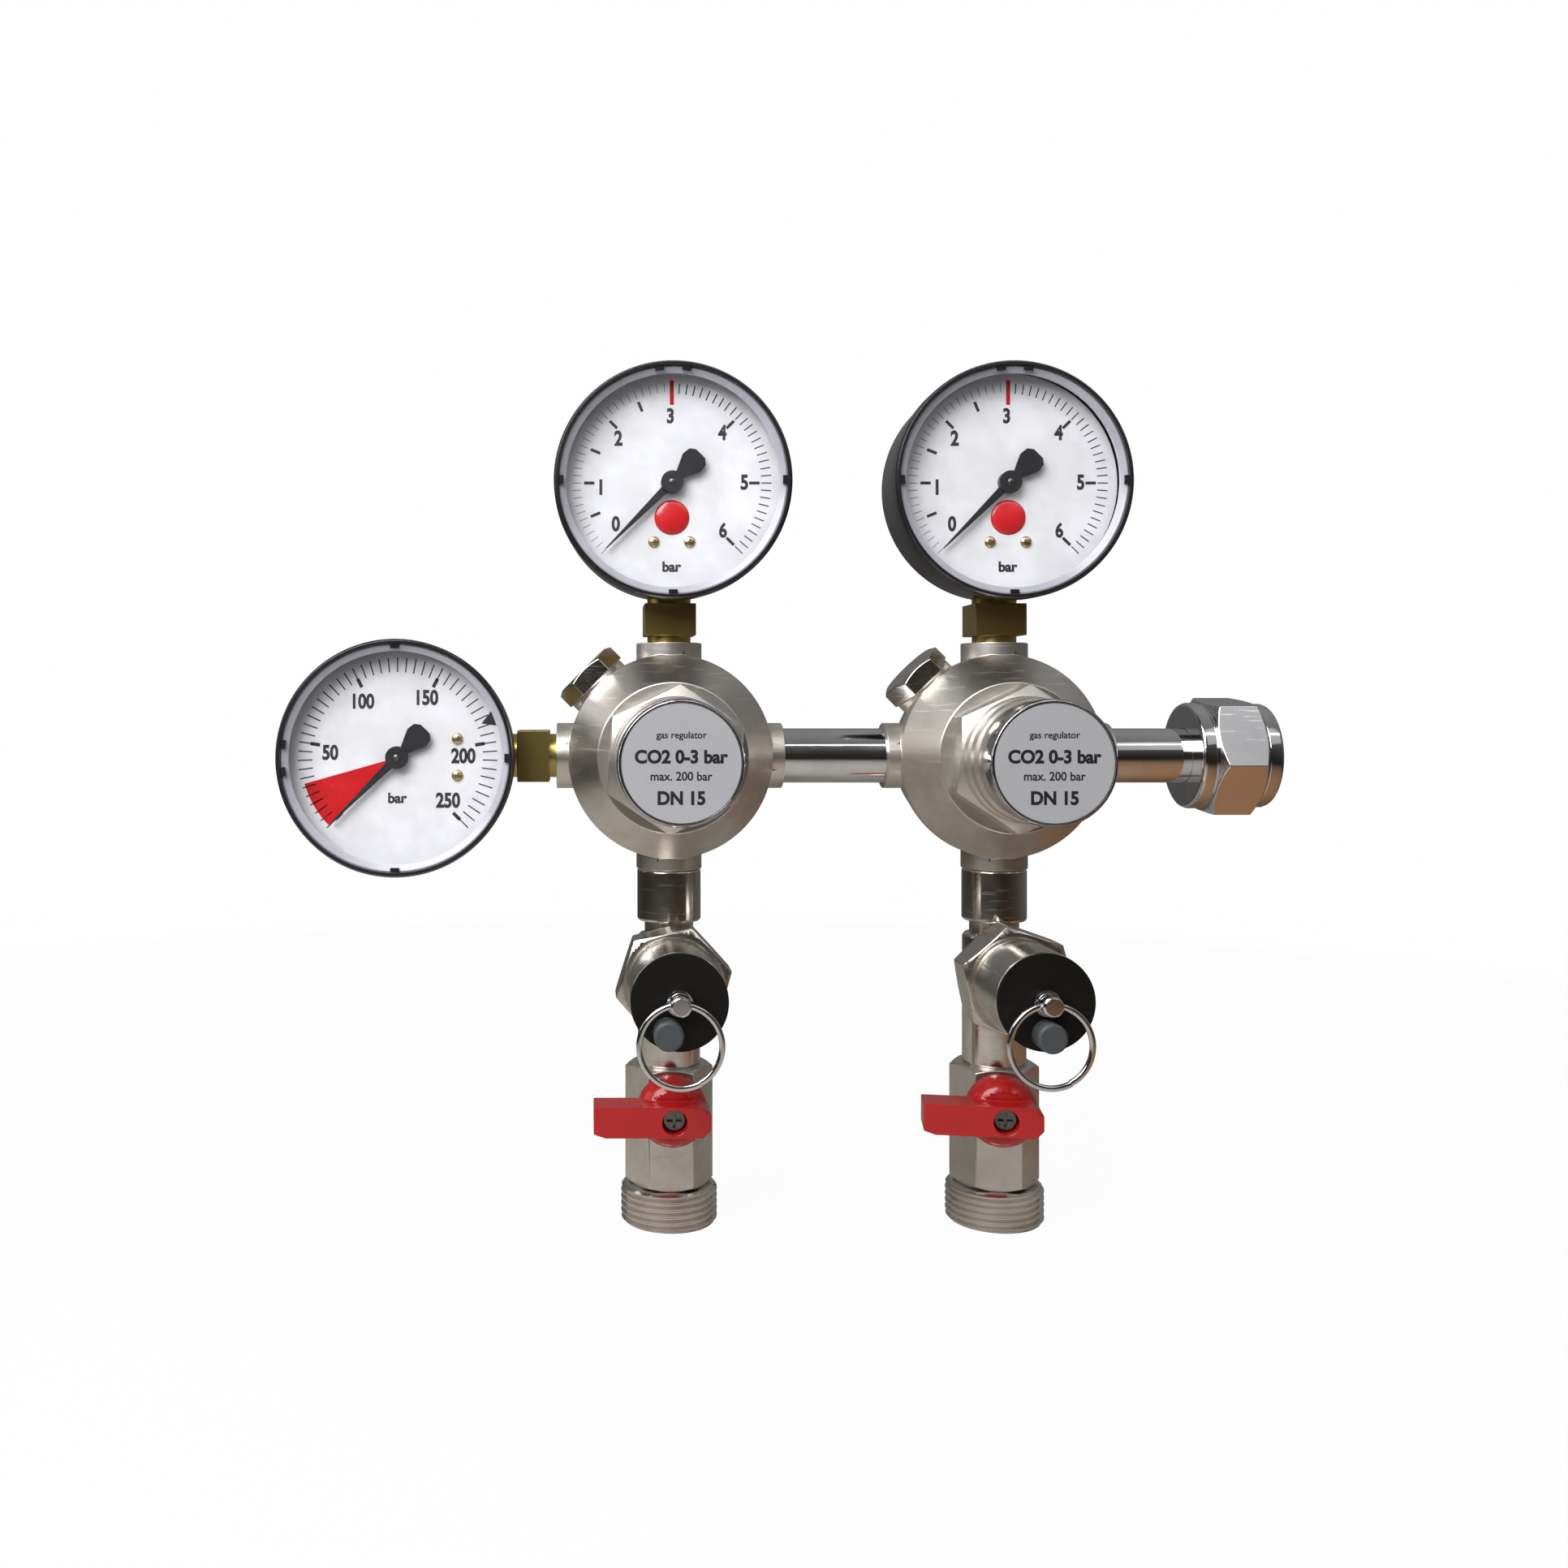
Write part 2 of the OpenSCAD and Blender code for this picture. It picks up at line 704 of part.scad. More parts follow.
at_right_gauge() gauge_socket();  // right_gauge_socket
at_right_gauge() gauge_pointer();  // right_gauge_pointer
at_bottle_gauge() stem_right() gauge_shell();  // bottle_gauge_case
at_bottle_gauge() stem_right() gauge_window();  // bottle_gauge_window
at_bottle_gauge() gauge_dial();  // bottle_gauge_dial
at_bottle_gauge() stem_right() gauge_socket();  // bottle_gauge_socket
at_bottle_gauge() gauge_pointer();  // bottle_gauge_pointer
valve_seats();
link_pipe();
inlet_pipe();
inlet_washer();
inlet_nut();
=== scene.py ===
"""Looks for a two-line carbon dioxide regulator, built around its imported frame.

Each operator finishes one group of like pieces: it takes the frame's parts, softens their
edges or models a detailed piece in their place, and gives them a finish built from nodes.
All lengths in the settings are in metres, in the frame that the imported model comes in.
"""

import json
from contextlib import contextmanager
from math import radians

import bpy
from mathutils import Matrix, Vector

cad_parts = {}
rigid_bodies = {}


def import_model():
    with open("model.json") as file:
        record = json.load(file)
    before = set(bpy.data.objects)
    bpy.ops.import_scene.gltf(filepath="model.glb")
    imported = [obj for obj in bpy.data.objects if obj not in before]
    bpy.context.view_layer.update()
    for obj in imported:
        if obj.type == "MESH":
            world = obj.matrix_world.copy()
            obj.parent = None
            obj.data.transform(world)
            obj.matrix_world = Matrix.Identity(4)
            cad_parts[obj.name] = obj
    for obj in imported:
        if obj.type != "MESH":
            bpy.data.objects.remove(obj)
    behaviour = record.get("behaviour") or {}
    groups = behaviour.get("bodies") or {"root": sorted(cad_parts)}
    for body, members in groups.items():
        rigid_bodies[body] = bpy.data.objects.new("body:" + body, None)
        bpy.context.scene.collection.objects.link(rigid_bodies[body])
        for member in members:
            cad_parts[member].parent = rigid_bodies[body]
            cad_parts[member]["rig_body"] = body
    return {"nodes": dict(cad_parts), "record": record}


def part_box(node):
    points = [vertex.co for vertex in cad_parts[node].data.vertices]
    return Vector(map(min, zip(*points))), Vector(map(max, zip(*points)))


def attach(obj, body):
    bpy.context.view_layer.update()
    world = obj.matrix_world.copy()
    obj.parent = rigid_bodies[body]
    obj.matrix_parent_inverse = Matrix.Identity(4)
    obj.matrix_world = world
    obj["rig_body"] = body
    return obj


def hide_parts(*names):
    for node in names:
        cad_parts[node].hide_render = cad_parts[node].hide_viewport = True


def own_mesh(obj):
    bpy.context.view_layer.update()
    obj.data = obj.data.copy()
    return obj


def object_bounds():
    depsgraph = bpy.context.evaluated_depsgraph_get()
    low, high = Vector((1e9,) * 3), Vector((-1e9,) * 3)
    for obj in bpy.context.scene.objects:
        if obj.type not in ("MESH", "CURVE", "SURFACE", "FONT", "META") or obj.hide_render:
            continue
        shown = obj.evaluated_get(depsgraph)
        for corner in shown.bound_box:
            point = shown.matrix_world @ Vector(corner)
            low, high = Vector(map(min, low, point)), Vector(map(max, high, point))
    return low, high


bl_info = {
    "name": "Carbon dioxide regulator",
    "version": (1, 0, 0),
    "blender": (4, 5, 0),
    "location": "View3D > Sidebar > Regulator",
    "description": "Details, finishes and stage for a two-line carbon dioxide regulator",
    "category": "Add Mesh",
}

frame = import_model()
cad_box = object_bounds()

MM = 0.001
SIDES = ("left", "right")
GAUGES = ("left", "right", "bottle")
FORE = 0  # the corner of a box that lies to the left, in front and below
BACK = 1  # the corner of a box that lies to the right, behind and above
FRONT = Matrix.Rotation(radians(90), 4, "X")  # turns flat work from facing up to facing forwards


def body_of(node):
    """The body that a frame part moves with."""
    return frame["nodes"][node]["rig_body"]


def slot_of(node):
    """The material slot that the record gives a frame part."""
    for part in frame["record"]["subparts"]:
        if part["node"] == node:
            return part["material_slot"]
    raise ValueError(f"the record has no part named {node}")


def centre(node):
    """The middle of a frame part's box."""
    low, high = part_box(node)
    return (low + high) / 2


def front_of(node):
    """Moves flat work, drawn about the origin and facing up, to the front of a frame part's box."""
    low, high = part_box(node)
    return Matrix.Translation(((low.x + high.x) / 2, low.y, (low.z + high.z) / 2)) @ FRONT


# ---- Settings ----


def colour(name, description, value):
    return bpy.props.FloatVectorProperty(
        name=name, description=description, default=value, size=4, min=0, max=1, subtype="COLOR"
    )


def length(name, description, value):
    return bpy.props.FloatProperty(
        name=name, description=description, default=value, min=0, unit="LENGTH", precision=5
    )


def power(name, description, value):
    return bpy.props.FloatProperty(
        name=name, description=description, default=value, min=0, unit="POWER"
    )


class FinishSettings(bpy.types.PropertyGroup):
    """Colours of the metals, plastics and papers"""

    nickel: colour("Nickel", "Colour of the nickel plating", (0.74, 0.71, 0.67, 1))
    nickel_dark: colour("Nickel tarnish", "Colour of handled or tarnished nickel", (0.46, 0.41, 0.36, 1))
    chrome: colour("Chrome", "Colour of polished chrome", (0.80, 0.80, 0.82, 1))
    chrome_dark: colour("Chrome haze", "Colour of hazy chrome", (0.55, 0.55, 0.58, 1))
    brass: colour("Brass", "Colour of the bare brass", (0.46, 0.34, 0.13, 1))
    brass_dark: colour("Brass tarnish", "Colour of tarnished brass", (0.17, 0.12, 0.045, 1))
    steel: colour("Spring steel", "Colour of springs and screws", (0.20, 0.19, 0.19, 1))
    case: colour("Case", "Colour of the gauge cases", (0.018, 0.017, 0.020, 1))
    cap: colour("Cap", "Colour of the relief valve's cap", (0.0050, 0.0042, 0.0032, 1))
    vent: colour("Vent plug", "Colour of the vent plug on the cap", (0.055, 0.062, 0.070, 1))
    lever: colour("Lever", "Colour of the valve levers", (0.40, 0.008, 0.009, 1))
    dial: colour("Dial", "Colour of the dials", (0.57, 0.575, 0.605, 1))
    ink: colour("Ink", "Colour of scales, numerals and pointers", (0.012, 0.012, 0.014, 1))
    red_ink: colour("Red ink", "Colour of the limit marks", (0.45, 0.010, 0.014, 1))
    label: colour("Label", "Colour of the foil labels", (0.56, 0.56, 0.59, 1))
    # Window edge: a painted reflection, an opaque lavender tone in place of the light that the clear window's
    # bevel reflects and bends.
    window_edge: colour("Window edge", "Painted reflection on the edge of the gauge windows", (0.46, 0.46, 0.52, 1))
    rivet: colour("Rivet", "Colour of the dials' rivets", (0.78, 0.64, 0.38, 1))
    rubber: colour("Rubber", "Colour of diaphragms", (0.05, 0.055, 0.06, 1))
    fibre: colour("Fibre", "Colour of the inlet washer", (0.42, 0.10, 0.06, 1))


class EdgeSettings(bpy.types.PropertyGroup):
    """How far edges are rounded"""

    machined: length("Machined edge", "Rounding of machined edges", 0.22 * MM)
    thin: length("Thin edge", "Rounding of thin sheet and small parts", 0.10 * MM)
    moulded: length("Moulded edge", "Rounding of moulded plastic edges", 0.35 * MM)
    pointer: length("Pointer edge", "Rounding of the thin pointers", 0.05 * MM)


class PrintSettings(bpy.types.PropertyGroup):
    """Printing on dials and labels"""

    numeral: length("Numeral height", "Height of the dial numerals", 4.2 * MM)
    unit: length("Unit height", "Height of the unit's lettering", 2.9 * MM)
    working_full: bpy.props.FloatProperty(
        name="Working scale", description="Highest pressure on the working gauges, in bar", default=6
    )
    bottle_full: bpy.props.FloatProperty(
        name="Bottle scale", description="Highest pressure on the bottle gauge, in bar", default=250
    )


class ThreadSettings(bpy.types.PropertyGroup):
    """Threads of the outlets and the union nut"""

    pitch: length("Pitch", "Rise of one turn", 1.814 * MM)
    depth: length("Depth", "Depth of a groove", 1.0 * MM)


class RingSettings(bpy.types.PropertyGroup):
    """Pull rings wound from wire"""

    turns: bpy.props.IntProperty(name="Turns", description="Turns of wire in a ring", default=2, min=1)


class TravelSettings(bpy.types.PropertyGroup):
    """How far the springs inside are pressed"""

    button: length("Button travel", "How far a fully screwed cap presses its main spring", 3.1 * MM)
    relief: length("Relief travel", "How far a pulled relief pin presses its spring", 3.1 * MM)


class StageSettings(bpy.types.PropertyGroup):
    """Floor, lights and camera"""

    floor: colour("Floor", "Colour of the floor", (0.86, 0.86, 0.86, 1))
    floor_reach: length("Floor reach", "Distance at which the floor fades out", 0.6)
    drop: length("Floor drop", "Distance of the floor below the part", 0.0)
    camera_distance: length("Camera distance", "Distance from the pipe plane to the lens", 0.4)
    key: power("Key light", "Power of the key light, in front above left", 10.5)
    side: power("Side light", "Power of the side light, left", 0.8)
    fill: power("Fill light", "Power of the fill light, in front above right", 0.3)
    strip: power("Strip light", "Power of the long thin light in front above", 0.7)
    mirrored_left: colour("Mirrored left", "Left of the floor, as metal mirrors it", (0.50, 0.47, 0.43, 1))
    mirrored_right: colour("Mirrored right", "Right of the floor, as metal mirrors it", (0.44, 0.23, 0.11, 1))


# ---- Modelling helpers ----


def deselect():
    if bpy.context.object and bpy.context.object.mode != "OBJECT":
        bpy.ops.object.mode_set(mode="OBJECT")
    bpy.ops.object.select_all(action="DESELECT")


def activate(*pieces):
    """Selects only these pieces, the first one active."""
    deselect()
    for piece in pieces:
        piece.select_set(True)
    bpy.context.view_layer.objects.active = pieces[0]


def apply_place(piece):
    """Puts the object's place, turn and size into its mesh."""
    activate(piece)
    bpy.ops.object.transform_apply(location=True, rotation=True, scale=True)


def apply_all(piece):
    """Applies a piece's modifiers in their order."""
    activate(piece)
    for modifier in list(piece.modifiers):
        bpy.ops.object.modifier_apply(modifier=modifier.name)


def copy_mesh(piece, name, matrix):
    """A copy of a piece with its own mesh, moved by a matrix."""
    twin = bpy.data.objects.new(name, piece.data.copy())
    bpy.context.scene.collection.objects.link(twin)
    twin.data.transform(matrix)
    return twin


def join(name, pieces):
    activate(*pieces)
    bpy.ops.object.join()
    joined = bpy.context.object
    joined.name = name
    return joined


def dress(piece, finish):
    """Gives a piece one finish all over."""
    piece.data.materials.clear()
    piece.data.materials.append(bpy.data.materials[finish])


@contextmanager
def edit_mode(select="SELECT"):
    """Edit mode on the active piece, with all or nothing selected, or with None the selection it has."""
    bpy.ops.object.mode_set(mode="EDIT")
    if select:
        bpy.ops.mesh.select_all(action=select)
    yield
    bpy.ops.object.mode_set(mode="OBJECT")


def outline(name, points, closed=False):
    """Draws an outline by extruding one point from place to place."""
    deselect()
    bpy.ops.mesh.primitive_plane_add(size=MM, location=points[0])
    piece = bpy.context.object
    piece.name = name
    with edit_mode():
        bpy.ops.mesh.merge(type="CENTER")
        for here, there in zip(points, points[1:]):
            step = Vector(there) - Vector(here)
            bpy.ops.mesh.extrude_vertices_move(TRANSFORM_OT_translate={"value": step})
        bpy.ops.mesh.select_all(action="DESELECT")
    if closed:
        piece.data.vertices[0].select = True
        piece.data.vertices[-1].select = True
        with edit_mode(select=None):
            bpy.ops.mesh.edge_face_add()
    apply_place(piece)
    return piece


def wind(piece, rise, turns, steps):
    """Sweeps an outline about Z, with a rise at each turn."""
    screw = piece.modifiers.new("winding", "SCREW")
    screw.axis = "Z"
    screw.screw_offset = rise
    screw.iterations = turns
    screw.steps = steps
    screw.render_steps = steps
    screw.use_merge_vertices = True
    apply_all(piece)


def fill_ends():
    """Fills the open ends of the active piece and turns its faces outwards."""
    with edit_mode("DESELECT"):
        bpy.ops.mesh.select_mode(type="EDGE")
        bpy.ops.mesh.select_non_manifold(extend=False, use_wire=False, use_multi_face=False,
                                         use_non_contiguous=False, use_verts=False)
        bpy.ops.mesh.fill()
        bpy.ops.mesh.select_all(action="SELECT")
        bpy.ops.mesh.normals_make_consistent(inside=False)
        bpy.ops.mesh.select_mode(type="VERT")


def cut(piece, tool):
    """Takes one piece out of another and throws the tool away."""
    boolean = piece.modifiers.new("cut", "BOOLEAN")
    boolean.operation = "DIFFERENCE"
    boolean.object = tool
    boolean.solver = "EXACT"
    apply_all(piece)
    bpy.data.objects.remove(tool)


def finish_normals(piece, angle=38):
    """Smooth shading that stays crisp at real edges and flat on large faces."""
    activate(piece)
    bpy.ops.object.shade_smooth_by_angle(angle=radians(angle))
    weighted = piece.modifiers.new("flat faces", "WEIGHTED_NORMAL")
    weighted.keep_sharp = True
    weighted.weight = 80
    apply_all(piece)


def clean_copy(node, name):
    """A merged copy of a frame part, with its flat faces whole."""
    piece = bpy.data.objects.new(name, frame["nodes"][node].data.copy())
    bpy.context.scene.collection.objects.link(piece)
    activate(piece)
    bpy.ops.mesh.customdata_custom_splitnormals_clear()
    with edit_mode():
        bpy.ops.mesh.remove_doubles(threshold=0.002 * MM)
        bpy.ops.mesh.dissolve_limited(angle_limit=radians(0.6))
        bpy.ops.mesh.select_all(action="DESELECT")
    return piece


def round_edges(piece, width, segments=2, angle=32):
    bevel = piece.modifiers.new("round edges", "BEVEL")
    bevel.width = width
    bevel.segments = segments
    bevel.limit_method = "ANGLE"
    bevel.angle_limit = radians(angle)
    bevel.use_clamp_overlap = False
    bevel.miter_outer = "MITER_ARC"
    apply_all(piece)


def soften(node, width, finish, segments=2, angle=32):
    """A frame part's shape with rounded edges, which stands for that part."""
    piece = clean_copy(node, f"{node}_finished")
    round_edges(piece, width, segments, angle)
    finish_normals(piece)
    dress(piece, finish)
    stand_for(piece, node)
    return piece


def stand_for(piece, node):
    """A piece that takes a frame part's place."""
    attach(piece, body_of(node))
    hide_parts(node)


def stand_on_both_sides(left, node, right_name):
    """A left piece takes its part's place, and a copy of it that of the right part."""
    step = centre(f"right_{node}").x - centre(f"left_{node}").x
    right = copy_mesh(left, right_name, Matrix.Translation((step, 0, 0)))
    stand_for(left, f"left_{node}")
    stand_for(right, f"right_{node}")


def go_with(piece, node):
    """A piece that moves with a frame part and stands for none."""
    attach(piece, body_of(node))


# ---- Node groups shared by the finishes ----


def feed(tree, socket, value):
    """Links an input to an output, or sets it to a value."""
    if isinstance(value, bpy.types.NodeSocket):
        tree.links.new(value, socket)
    else:
        socket.default_value = value


def add_node(tree, kind, inputs=None, **settings):
    """Adds a node, sets its options, and sets or links its inputs."""
    made = tree.nodes.new(kind)
    for key, value in settings.items():
        setattr(made, key, value)
    for key, value in (inputs or {}).items():
        feed(tree, made.inputs[key], value)
    return made


def maths(tree, operation, *values, clamp=False):
    inputs = dict(enumerate(values))
    return add_node(tree, "ShaderNodeMath", inputs, operation=operation, use_clamp=clamp).outputs[0]


def times(tree, a, b):
    return maths(tree, "MULTIPLY", a, b)


def noise(tree, vector, scale, detail, roughness=0.5):
    inputs = {"Vector": vector, "Scale": scale, "Detail": detail, "Roughness": roughness}
    return add_node(tree, "ShaderNodeTexNoise", inputs).outputs["Fac"]


def seen_from(tree, vector, middle, turn=(0, 0, 0)):
    """A vector counted from a place, along axes that are turned."""
    inputs = {"Vector": vector, "Location": middle, "Rotation": turn}
    return add_node(tree, "ShaderNodeMapping", inputs, vector_type="TEXTURE").outputs["Vector"]


def step_up(tree, value, low, high):
    """0 below low, 1 above high, with a soft start and end."""
    inputs = {"Value": value, "From Min": low, "From Max": high}
    return add_node(tree, "ShaderNodeMapRange", inputs, interpolation_type="SMOOTHSTEP").outputs["Result"]


def mix_colours(tree, share, a, b):
    made = add_node(tree, "ShaderNodeMix", data_type="RGBA")
    for key, value in (("Factor_Float", share), ("A_Color", a), ("B_Color", b)):
        feed(tree, next(s for s in made.inputs if s.identifier == key), value)
    return next(s for s in made.outputs if s.identifier == "Result_Color")


def new_group(name, inputs, outputs):
    """An empty shader group with named sockets. Inputs are (name, kind, default)."""
    group = bpy.data.node_groups.new(name, "ShaderNodeTree")
    for label, kind, value in inputs:
        socket = group.interface.new_socket(label, in_out="INPUT", socket_type=kind)
        if value is not None:
            socket.default_value = value
    for label, kind in outputs:
        group.interface.new_socket(label, in_out="OUTPUT", socket_type=kind)
    start = group.nodes.new("NodeGroupInput")
    end = group.nodes.new("NodeGroupOutput")
    return group, start.outputs, end.inputs


FLOAT = "NodeSocketFloat"
VECTOR = "NodeSocketVector"


def make_grain_group():
    """Fine grain of a blasted, cast or moulded skin, with broad cloudy patches."""
    group, given, out = new_group(
        "grain",
        [("Vector", VECTOR, None), ("Scale", FLOAT, 3000), ("Roughness", FLOAT, 0.3), ("Spread", FLOAT, 0.1)],
        [("Roughness", FLOAT), ("Height", FLOAT), ("Patches", FLOAT)],
    )
    fine = noise(group, given["Vector"], given["Scale"], 3.0, 0.6)
    broad = noise(group, given["Vector"], times(group, given["Scale"], 0.03), 4.0, 0.65)
    patches = step_up(group, broad, 0.35, 0.68)
    swing = maths(group, "ADD", times(group, fine, 0.5), times(group, patches, 0.5))
    swing = times(group, maths(group, "SUBTRACT", swing, 0.5), given["Spread"])
    group.links.new(maths(group, "ADD", swing, given["Roughness"], clamp=True), out["Roughness"])
    group.links.new(fine, out["Height"])
    group.links.new(patches, out["Patches"])
    return group


def make_scratch_group():
    """Hairline scratches: a few long thin streaks in three directions."""
    group, given, out = new_group(
        "scratches",
        [("Vector", VECTOR, None), ("Density", FLOAT, 90), ("Amount", FLOAT, 0.5)],
        [("Mask", FLOAT)],
    )
    total = None
    for index, turn in enumerate((0.35, 1.6, 2.5)):
        turned = add_node(
            group,
            "ShaderNodeMapping",
            {"Vector": given["Vector"], "Rotation": (0.3 * index, turn, 0.5), "Scale": (1.0, 0.06, 14.0)},
        ).outputs["Vector"]
        line = step_up(group, noise(group, turned, given["Density"], 1.0), 0.665, 0.72)
        total = line if total is None else maths(group, "MAXIMUM", total, line)
    group.links.new(times(group, total, given["Amount"]), out["Mask"])
    return group


def make_turning_group():
    """Marks of a lathe tool: fine uneven rings about the Z axis of the vector given."""
    group, given, out = new_group(
        "turning marks",
        [("Vector", VECTOR, None), ("Lines", FLOAT, 4000)],
        [("Height", FLOAT), ("Radius", FLOAT)],
    )
    parts = add_node(group, "ShaderNodeSeparateXYZ", {"Vector": given["Vector"]}).outputs
    square = maths(group, "ADD", times(group, parts["X"], parts["X"]), times(group, parts["Y"], parts["Y"]))
    radius = maths(group, "SQRT", square)
    place = times(group, maths(group, "ADD", radius, parts["Z"]), given["Lines"])
    rings = add_node(group, "ShaderNodeTexNoise", {"W": place, "Scale": 1.0, "Detail": 3.0},
                     noise_dimensions="1D").outputs["Fac"]
    group.links.new(rings, out["Height"])
    group.links.new(radius, out["Radius"])
    return group


def make_wear_group():
    """Where corners far from an axis have worn through, with ragged borders."""
    group, given, out = new_group(
        "corner wear",
        [("Vector", VECTOR, None), ("Radius", FLOAT, 0.0), ("Start", FLOAT, 0.01), ("Full", FLOAT, 0.012)],
        [("Mask", FLOAT)],
    )
    ragged = noise(group, given["Vector"], 900.0, 5.0, 0.7)
    shift = times(group, maths(group, "SUBTRACT", ragged, 0.5), 2.4 * MM)
    reach = maths(group, "ADD", given["Radius"], shift)
    inputs = {"Value": reach, "From Min": given["Start"], "From Max": given["Full"]}
    group.links.new(add_node(group, "ShaderNodeMapRange", inputs).outputs["Result"], out["Mask"])
    return group


def make_dust_group():
    """Thin dust that settles on faces that look up."""
    group, given, out = new_group(
        "dust", [("Vector", VECTOR, None), ("Amount", FLOAT, 0.2)], [("Mask", FLOAT)]
    )
    normal = add_node(group, "ShaderNodeNewGeometry").outputs["Normal"]
    up = add_node(group, "ShaderNodeSeparateXYZ", {"Vector": normal}).outputs["Z"]
    specks = noise(group, given["Vector"], 1400.0, 4.0)
    mask = times(group, step_up(group, up, 0.3, 1.0), step_up(group, specks, 0.45, 0.7))
    group.links.new(times(group, mask, given["Amount"]), out["Mask"])
    return group


def place_group(tree, name, inputs):
    """Places a shared group in a material."""
    made = tree.nodes.new("ShaderNodeGroup")
    made.node_tree = bpy.data.node_groups[name]
    for key, value in inputs.items():
        feed(tree, made.inputs[key], value)
    return made.outputs


def grain(tree, vector, scale, roughness, spread):
    inputs = {"Vector": vector, "Scale": scale, "Roughness": roughness, "Spread": spread}
    return place_group(tree, "grain", inputs)


def start_material(name, **constants):
    """A new material's tree, its shader's inputs and object coordinates.

    The constants go on the shader's own sockets.
    """
    made = bpy.data.materials.new(name)
    made.use_nodes = True
    tree = made.node_tree
    shader = tree.nodes["Principled BSDF"]
    for key, value in constants.items():
        shader.inputs[key.replace("_", " ")].default_value = value
    vector = add_node(tree, "ShaderNodeTexCoord").outputs["Object"]
    return tree, shader.inputs, vector


def let_through(tree, share):
    """Makes a share of a surface clear."""
    opaque = tree.nodes["Principled BSDF"].outputs["BSDF"]
    clear = add_node(tree, "ShaderNodeBsdfTransparent").outputs["BSDF"]
    mixed = add_node(tree, "ShaderNodeMixShader", {"Fac": share, 1: opaque, 2: clear})
    tree.links.new(mixed.outputs["Shader"], tree.nodes["Material Output"].inputs["Surface"])


def bump(tree, shader, height, strength, distance):
    made = add_node(tree, "ShaderNodeBump", {"Height": height, "Strength": strength, "Distance": distance})
    tree.links.new(made.outputs["Normal"], shader["Normal"])


def scaled(tone, factor):
    """A colour made lighter or darker by a factor."""
    return tuple(min(1.0, c * factor) for c in tone[:3]) + (1,)


def metal(name, tones, roughness, spread, scale=2600, scratches=0.35, depth=0.004, middle=None, lines=0,
          **constants):
    """A plated or bare metal. tones are its clean and its tarnished colour.

    depth is the grain's depth in millimetres. A metal that was turned on a lathe has the middle
    of its rings, which face the front, and their number of lines to the metre.
    """
    tree, shader, vector = start_material(name, Metallic=1.0, **constants)
    bright, dark = (tuple(tone) for tone in tones)
    skin = grain(tree, vector, scale, roughness, spread)
    hairlines = place_group(tree, "scratches", {"Vector": vector, "Amount": scratches})["Mask"]
    tree.links.new(mix_colours(tree, times(tree, skin["Patches"], 0.4), bright, dark), shader["Base Color"])
    tree.links.new(maths(tree, "ADD", skin["Roughness"], times(tree, hairlines, 0.25)), shader["Roughness"])
    height = maths(tree, "SUBTRACT", skin["Height"], hairlines)
    if middle is not None:
        centred = seen_from(tree, vector, middle, (radians(90), 0, 0))
        rings = place_group(tree, "turning marks", {"Vector": centred, "Lines": lines})["Height"]
        height = maths(tree, "ADD", height, times(tree, rings, 1.5))
    bump(tree, shader, height, 0.35, depth * MM)
    return tree, shader, vector


DUST = (0.45, 0.43, 0.41, 1)


def plastic(name, tone, roughness, scale, depth, dusty=0.16, **constants):
    """A moulded plastic, lacquer or rubber with fine grain and a little dust. depth is in millimetres."""
    tree, shader, vector = start_material(name, **constants)
    tone = tuple(tone)
    skin = grain(tree, vector, scale, roughness, 0.12)
    dust = place_group(tree, "dust", {"Vector": vector, "Amount": dusty})["Mask"]
    worn = mix_colours(tree, times(tree, skin["Patches"], 0.25), tone, scaled(tone, 1.6))
    tree.links.new(mix_colours(tree, dust, worn, DUST), shader["Base Color"])
    tree.links.new(maths(tree, "ADD", skin["Roughness"], times(tree, dust, 0.4)), shader["Roughness"])
    bump(tree, shader, skin["Height"], 0.4, depth * MM)


def body_middle(side):
    """Where a regulator body's front axis meets the pipes' plane."""
    middle = centre(f"{side}_knob")
    middle.y = 0
    return middle


def make_metals(tones):
    nickel = (tones.nickel, tones.nickel_dark)
    chrome = (tones.chrome, tones.chrome_dark)
    for side in SIDES:
        middle = body_middle(side)
        metal(f"satin nickel {side}", nickel, 0.40, 0.16, middle=middle, lines=5200, Anisotropic=0.35)
        middle = centre(f"{side}_relief_cap")
        metal(f"turned nickel {side}", nickel, 0.22, 0.14, middle=middle, lines=6000)
    metal("bright nickel", nickel, 0.16, 0.12)
    metal("matt nickel", nickel, 0.33, 0.14)
    metal("rivet brass", (tones.rivet, tones.brass), 0.22, 0.1)
    metal("chrome", chrome, 0.07, 0.06, scratches=0.25, depth=0.002)
    metal("chrome pipe", chrome, 0.09, 0.07, scratches=0.3, depth=0.003)
    metal("steel", (tones.steel, scaled(tones.steel, 0.5)), 0.30, 0.16)
    metal("brass", (tones.brass, tones.brass_dark), 0.26, 0.2, scale=1600)


WEAR_START = 10.3 * MM
WEAR_FULL = 11.5 * MM


def make_worn_nickel(tones):
    """Nickel that has worn through to brass on a plug's corners. The plug leans 45 degrees to the left."""
    for side in SIDES:
        tree, shader, vector = metal(f"worn nickel {side}", (tones.nickel, tones.nickel_dark), 0.2, 0.15)
        centred = seen_from(tree, vector, body_middle(side), (0, radians(-45), 0))
        radius = place_group(tree, "turning marks", {"Vector": centred})["Radius"]
        inputs = {"Vector": vector, "Radius": radius, "Start": WEAR_START, "Full": WEAR_FULL}
        mask = place_group(tree, "corner wear", inputs)["Mask"]
        plated = shader["Base Color"].links[0].from_socket
        tree.links.new(mix_colours(tree, mask, plated, tuple(tones.brass)), shader["Base Color"])


